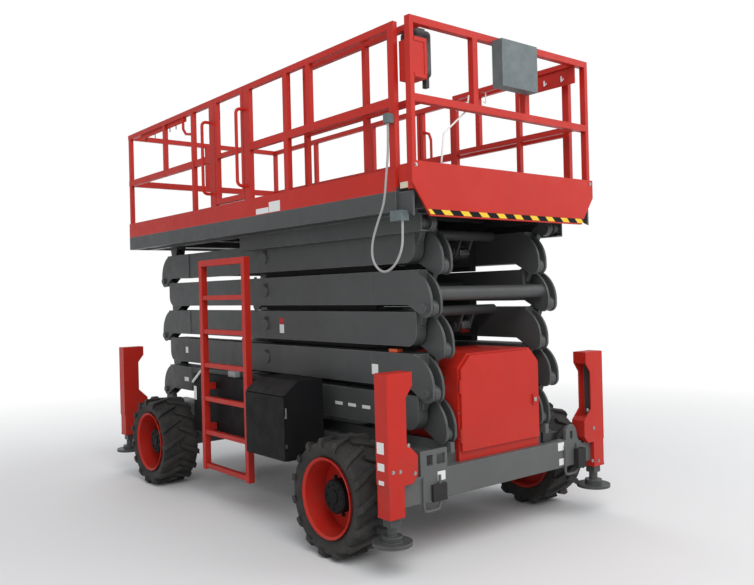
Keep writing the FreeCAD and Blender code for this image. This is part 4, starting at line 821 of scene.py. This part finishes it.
def make_hood_trim():
    builder = bmesh.new()
    for height in (0.80, 0.98, 1.16):
        add_bolt(builder, (HOOD_HIGH.x + CLEAR, -0.4255, height), X, 1, HINGE_BOLT)
    for along in (1.70, 1.85, 2.0):
        for height in (0.72, 1.22):
            for side in SIDES:
                add_bolt(builder, (along, side * HOOD_HIGH.y, height), Y, side, HOOD_BOLT)
    place_mesh("hood_bolts", builder, "zinc_steel", "chassis")
    face = HOOD_DOOR_HIGH.x
    boxes("hood_handle", "zinc_steel", "hood_door",
          [((face + CLEAR, 0.345, 0.985), (face + 0.006, 0.375, 1.015))], 0.002)


make_beam_trim()
make_housing_trim()
make_cabinet_trim()
make_hood_trim()


# Arms: a keeper plate and bolt above each centre pin of the outer arms, hose guards under the inner arms.

LEVELS = range(1, 6)
LEVEL_PITCH = 0.295
LOW_PIN = 0.84
KEEPER_THICK = 0.006
ARM_HALF_DEPTH = 0.1225
GUARD_DEPTH = 0.044
GUARD_WIDTH = 0.076
GUARD_END = 1.40
# Where the left and the right guard start, along and across.
GUARD_STARTS = ((0.08, 0.476), (-0.20, -0.552))


def centre_pin(level):
    """The height of a level's centre pins."""
    return LOW_PIN + (level - 0.5) * LEVEL_PITCH


def make_pin_keepers(level):
    pin = centre_pin(level)
    builder = bmesh.new()
    for low, high in side_boxes((-0.055, 0.015), (ARM_FACE + 0.0003, ARM_FACE + KEEPER_THICK),
                                (pin + 0.045, pin + 0.075)):
        add_box(builder, low, high)
    for side in SIDES:
        add_bolt(builder, (-0.020, side * (ARM_FACE + KEEPER_THICK), pin + 0.060), Y, side, KEEPER_BOLT)
    place_mesh(f"pin_keepers_{level}", builder, "iron", f"outer_{level}")


def make_hose_guards(level):
    under = centre_pin(level) - ARM_HALF_DEPTH
    boxes(f"hose_guards_{level}", "hose_rubber", f"inner_{level}",
          [((start, across, under - GUARD_DEPTH), (GUARD_END, across + GUARD_WIDTH, under - 0.0003))
           for start, across in GUARD_STARTS], 0.004)


for level in LEVELS:
    make_pin_keepers(level)
for level in LEVELS[1:]:
    make_hose_guards(level)


# Console: its case, lid and connector, and the frame in front of it.

CASE_EDGE = 0.035


def make_console():
    low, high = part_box("control_console")
    case = boxes("console_case", "case_plastic", "rollout", [(low, high)], CASE_EDGE, segments=6)
    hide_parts("control_console")
    boxes("console_lid", "case_plastic", "rollout",
          [((low.x + CASE_EDGE, low.y + CASE_EDGE, high.z - CLEAR),
            (high.x - CASE_EDGE, high.y - CASE_EDGE, high.z + 0.017))], 0.006)
    boxes("console_connector", "case_plastic", "rollout",
          [((low.x + 0.060, high.y - 0.015, low.z - 0.050),
            (high.x - 0.060, high.y + 0.018, low.z + 0.060))], 0.004)
    start = PLATE_LOW.x + CLEAR
    end = start + 0.0038
    boxes("console_frame", "red_paint", "rollout", [
        ((start, -0.912, 3.470), (end, -0.800, 3.500)),
        ((start, -0.912, 3.235), (end, -0.800, 3.262)),
        ((start, -0.822, 3.262), (end, -0.800, 3.470)),
    ], 0.002)


# Platform trim: the hook plate with its spikes, more posts and bent tubes of the rails, the front gussets.

TOE_TOP = 2.6603
UNDER_TOP_RAIL = 3.5868
POST_DEPTH = (0.915, 0.957)
TUBE_RADIUS = 0.013
# Distance from the middle, and a path of places along the machine and heights.
RAIL_TUBES = [
    (-0.935, [(-1.040, 3.590), (-1.040, 3.475), (-0.985, 3.420), (-0.830, 3.390)]),
    (0.936, [(0.380, 3.405), (0.452, 3.377), (0.478, 3.314),
             (0.478, 2.890), (0.452, 2.827), (0.380, 2.800)]),
]
HOOK_PLATE = (-0.930, -0.924)
SPIKES = (-1.95, -1.72, -1.50, -1.36, -1.22, -1.08)
SPIKE_WIDTH = 0.010


def make_hook_plate():
    near, far = HOOK_PLATE
    boxes("hook_plate_rear", "red_paint", "platform",
          [((-2.078, near, 3.542), (-0.985, far, 3.600))], 0.001)
    boxes("plate_spikes", "black_paint", "platform",
          [((along, near, 3.505), (along + SPIKE_WIDTH, far, 3.543)) for along in SPIKES], 0.0005)


def make_rail_extras():
    rows = []
    for side, start, end in ((-1, -0.837, -0.795), (1, 0.300, 0.335), (1, 0.350, 0.385)):
        near, far = on_side(side, *POST_DEPTH)
        rows.append(((start, near, TOE_TOP), (end, far, UNDER_TOP_RAIL)))
    boxes("rail_posts", "red_paint", "platform", rows, 0.002)
    builder = bmesh.new()
    for across, path in RAIL_TUBES:
        add_bent_bar(builder, [(along, across, height) for along, height in path], TUBE_RADIUS)
    place_mesh("rail_tubes", builder, "red_paint", "platform")


def make_nose_gussets():
    builder = bmesh.new()
    outline = [(2.120, 2.375), (2.120, 2.500), (2.273, 2.500), (2.273, 2.338), (2.195, 2.375)]
    for side in SIDES:
        add_prism(builder, outline, Y, *on_side(side, 0.925, 0.940))
    place_mesh("nose_gussets", builder, "dark_grey_paint", "platform")


# Roll-out deck trim: hooks on the left rail, the bent rod on the front mid rail, cheeks beside the plate.

ROD_PLANE = 2.239
# Place across and height.
ROD_PATH = [(-0.363, 3.198), (-0.378, 3.095), (-0.613, 2.909), (-0.642, 2.711), (-0.650, 2.566)]


def make_rail_hooks():
    builder = bmesh.new()
    for along in (1.813, 1.98, 2.15):
        add_bar(builder, (along, 0.825, 3.515), (along, 0.795, 3.490), 0.006, 12)
        add_bar(builder, (along, 0.795, 3.487), (along, 0.795, 3.530), 0.006, 12)
    for along in (0.95, 1.09, 1.306):
        add_bar(builder, (along, 0.828, 3.602), (along, 0.828, 3.490), 0.005, 12)
        add_bar(builder, (along, 0.828, 3.492), (along, 0.795, 3.500), 0.005, 12)
    place_mesh("rail_hooks", builder, "white_paint", "rollout")


def make_bent_rod():
    builder = bmesh.new()
    add_bent_bar(builder, [(ROD_PLANE, across, height) for across, height in ROD_PATH], 0.006)
    place_mesh("bent_rod", builder, "white_paint", "rollout")


def make_nose_cheeks():
    boxes("nose_cheeks", "red_paint", "rollout",
          side_boxes((2.137, PLATE_LOW.x + CLEAR), (0.930, 0.942), (2.563, 2.680)), 0.001)
    boxes("cheek_strips", "cream_paint", "rollout",
          side_boxes((2.150, 2.275), (0.930, 0.9405), (2.522, 2.5632)), 0.001)


make_console()
make_hook_plate()
make_rail_extras()
make_nose_gussets()
make_rail_hooks()
make_bent_rod()
make_nose_cheeks()


# Control cable: hangs from a clip on the front right post to the junction box under the deck.

CABLE_RADIUS = 0.008
CABLE_ROUTE = [
    (2.094, -0.985, 2.9597), (2.094, -0.985, 2.790), (2.086, -1.004, 2.600), (2.070, -1.010, 2.430),
    (1.990, -1.012, 2.300), (1.925, -1.012, 2.160), (1.935, -1.010, 2.040), (2.035, -1.006, 1.965),
    (2.150, -1.000, 2.010), (2.215, -0.990, 2.120), (2.200, -0.970, 2.235), (2.200, -0.970, 2.3067),
]


def cable_curve(name, points, radius, material, body):
    """A limp cable along smooth control points."""
    data = bpy.data.curves.new(name, "CURVE")
    data.dimensions = "3D"
    data.bevel_depth = radius
    data.bevel_resolution = 4
    data.use_fill_caps = True
    spline = data.splines.new("NURBS")
    spline.points.add(len(points) - 1)
    for control, point in zip(spline.points, points):
        control.co = (*point, 1)
    spline.order_u = 3
    spline.use_endpoint_u = True
    data.materials.append(MATERIALS[material])
    piece = add_object(name, data)
    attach(piece, body)
    return piece


def make_cable():
    cable = cable_curve("hanging_cable", CABLE_ROUTE, CABLE_RADIUS, "cable_sheath", "platform")
    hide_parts("control_cable")


make_cable()
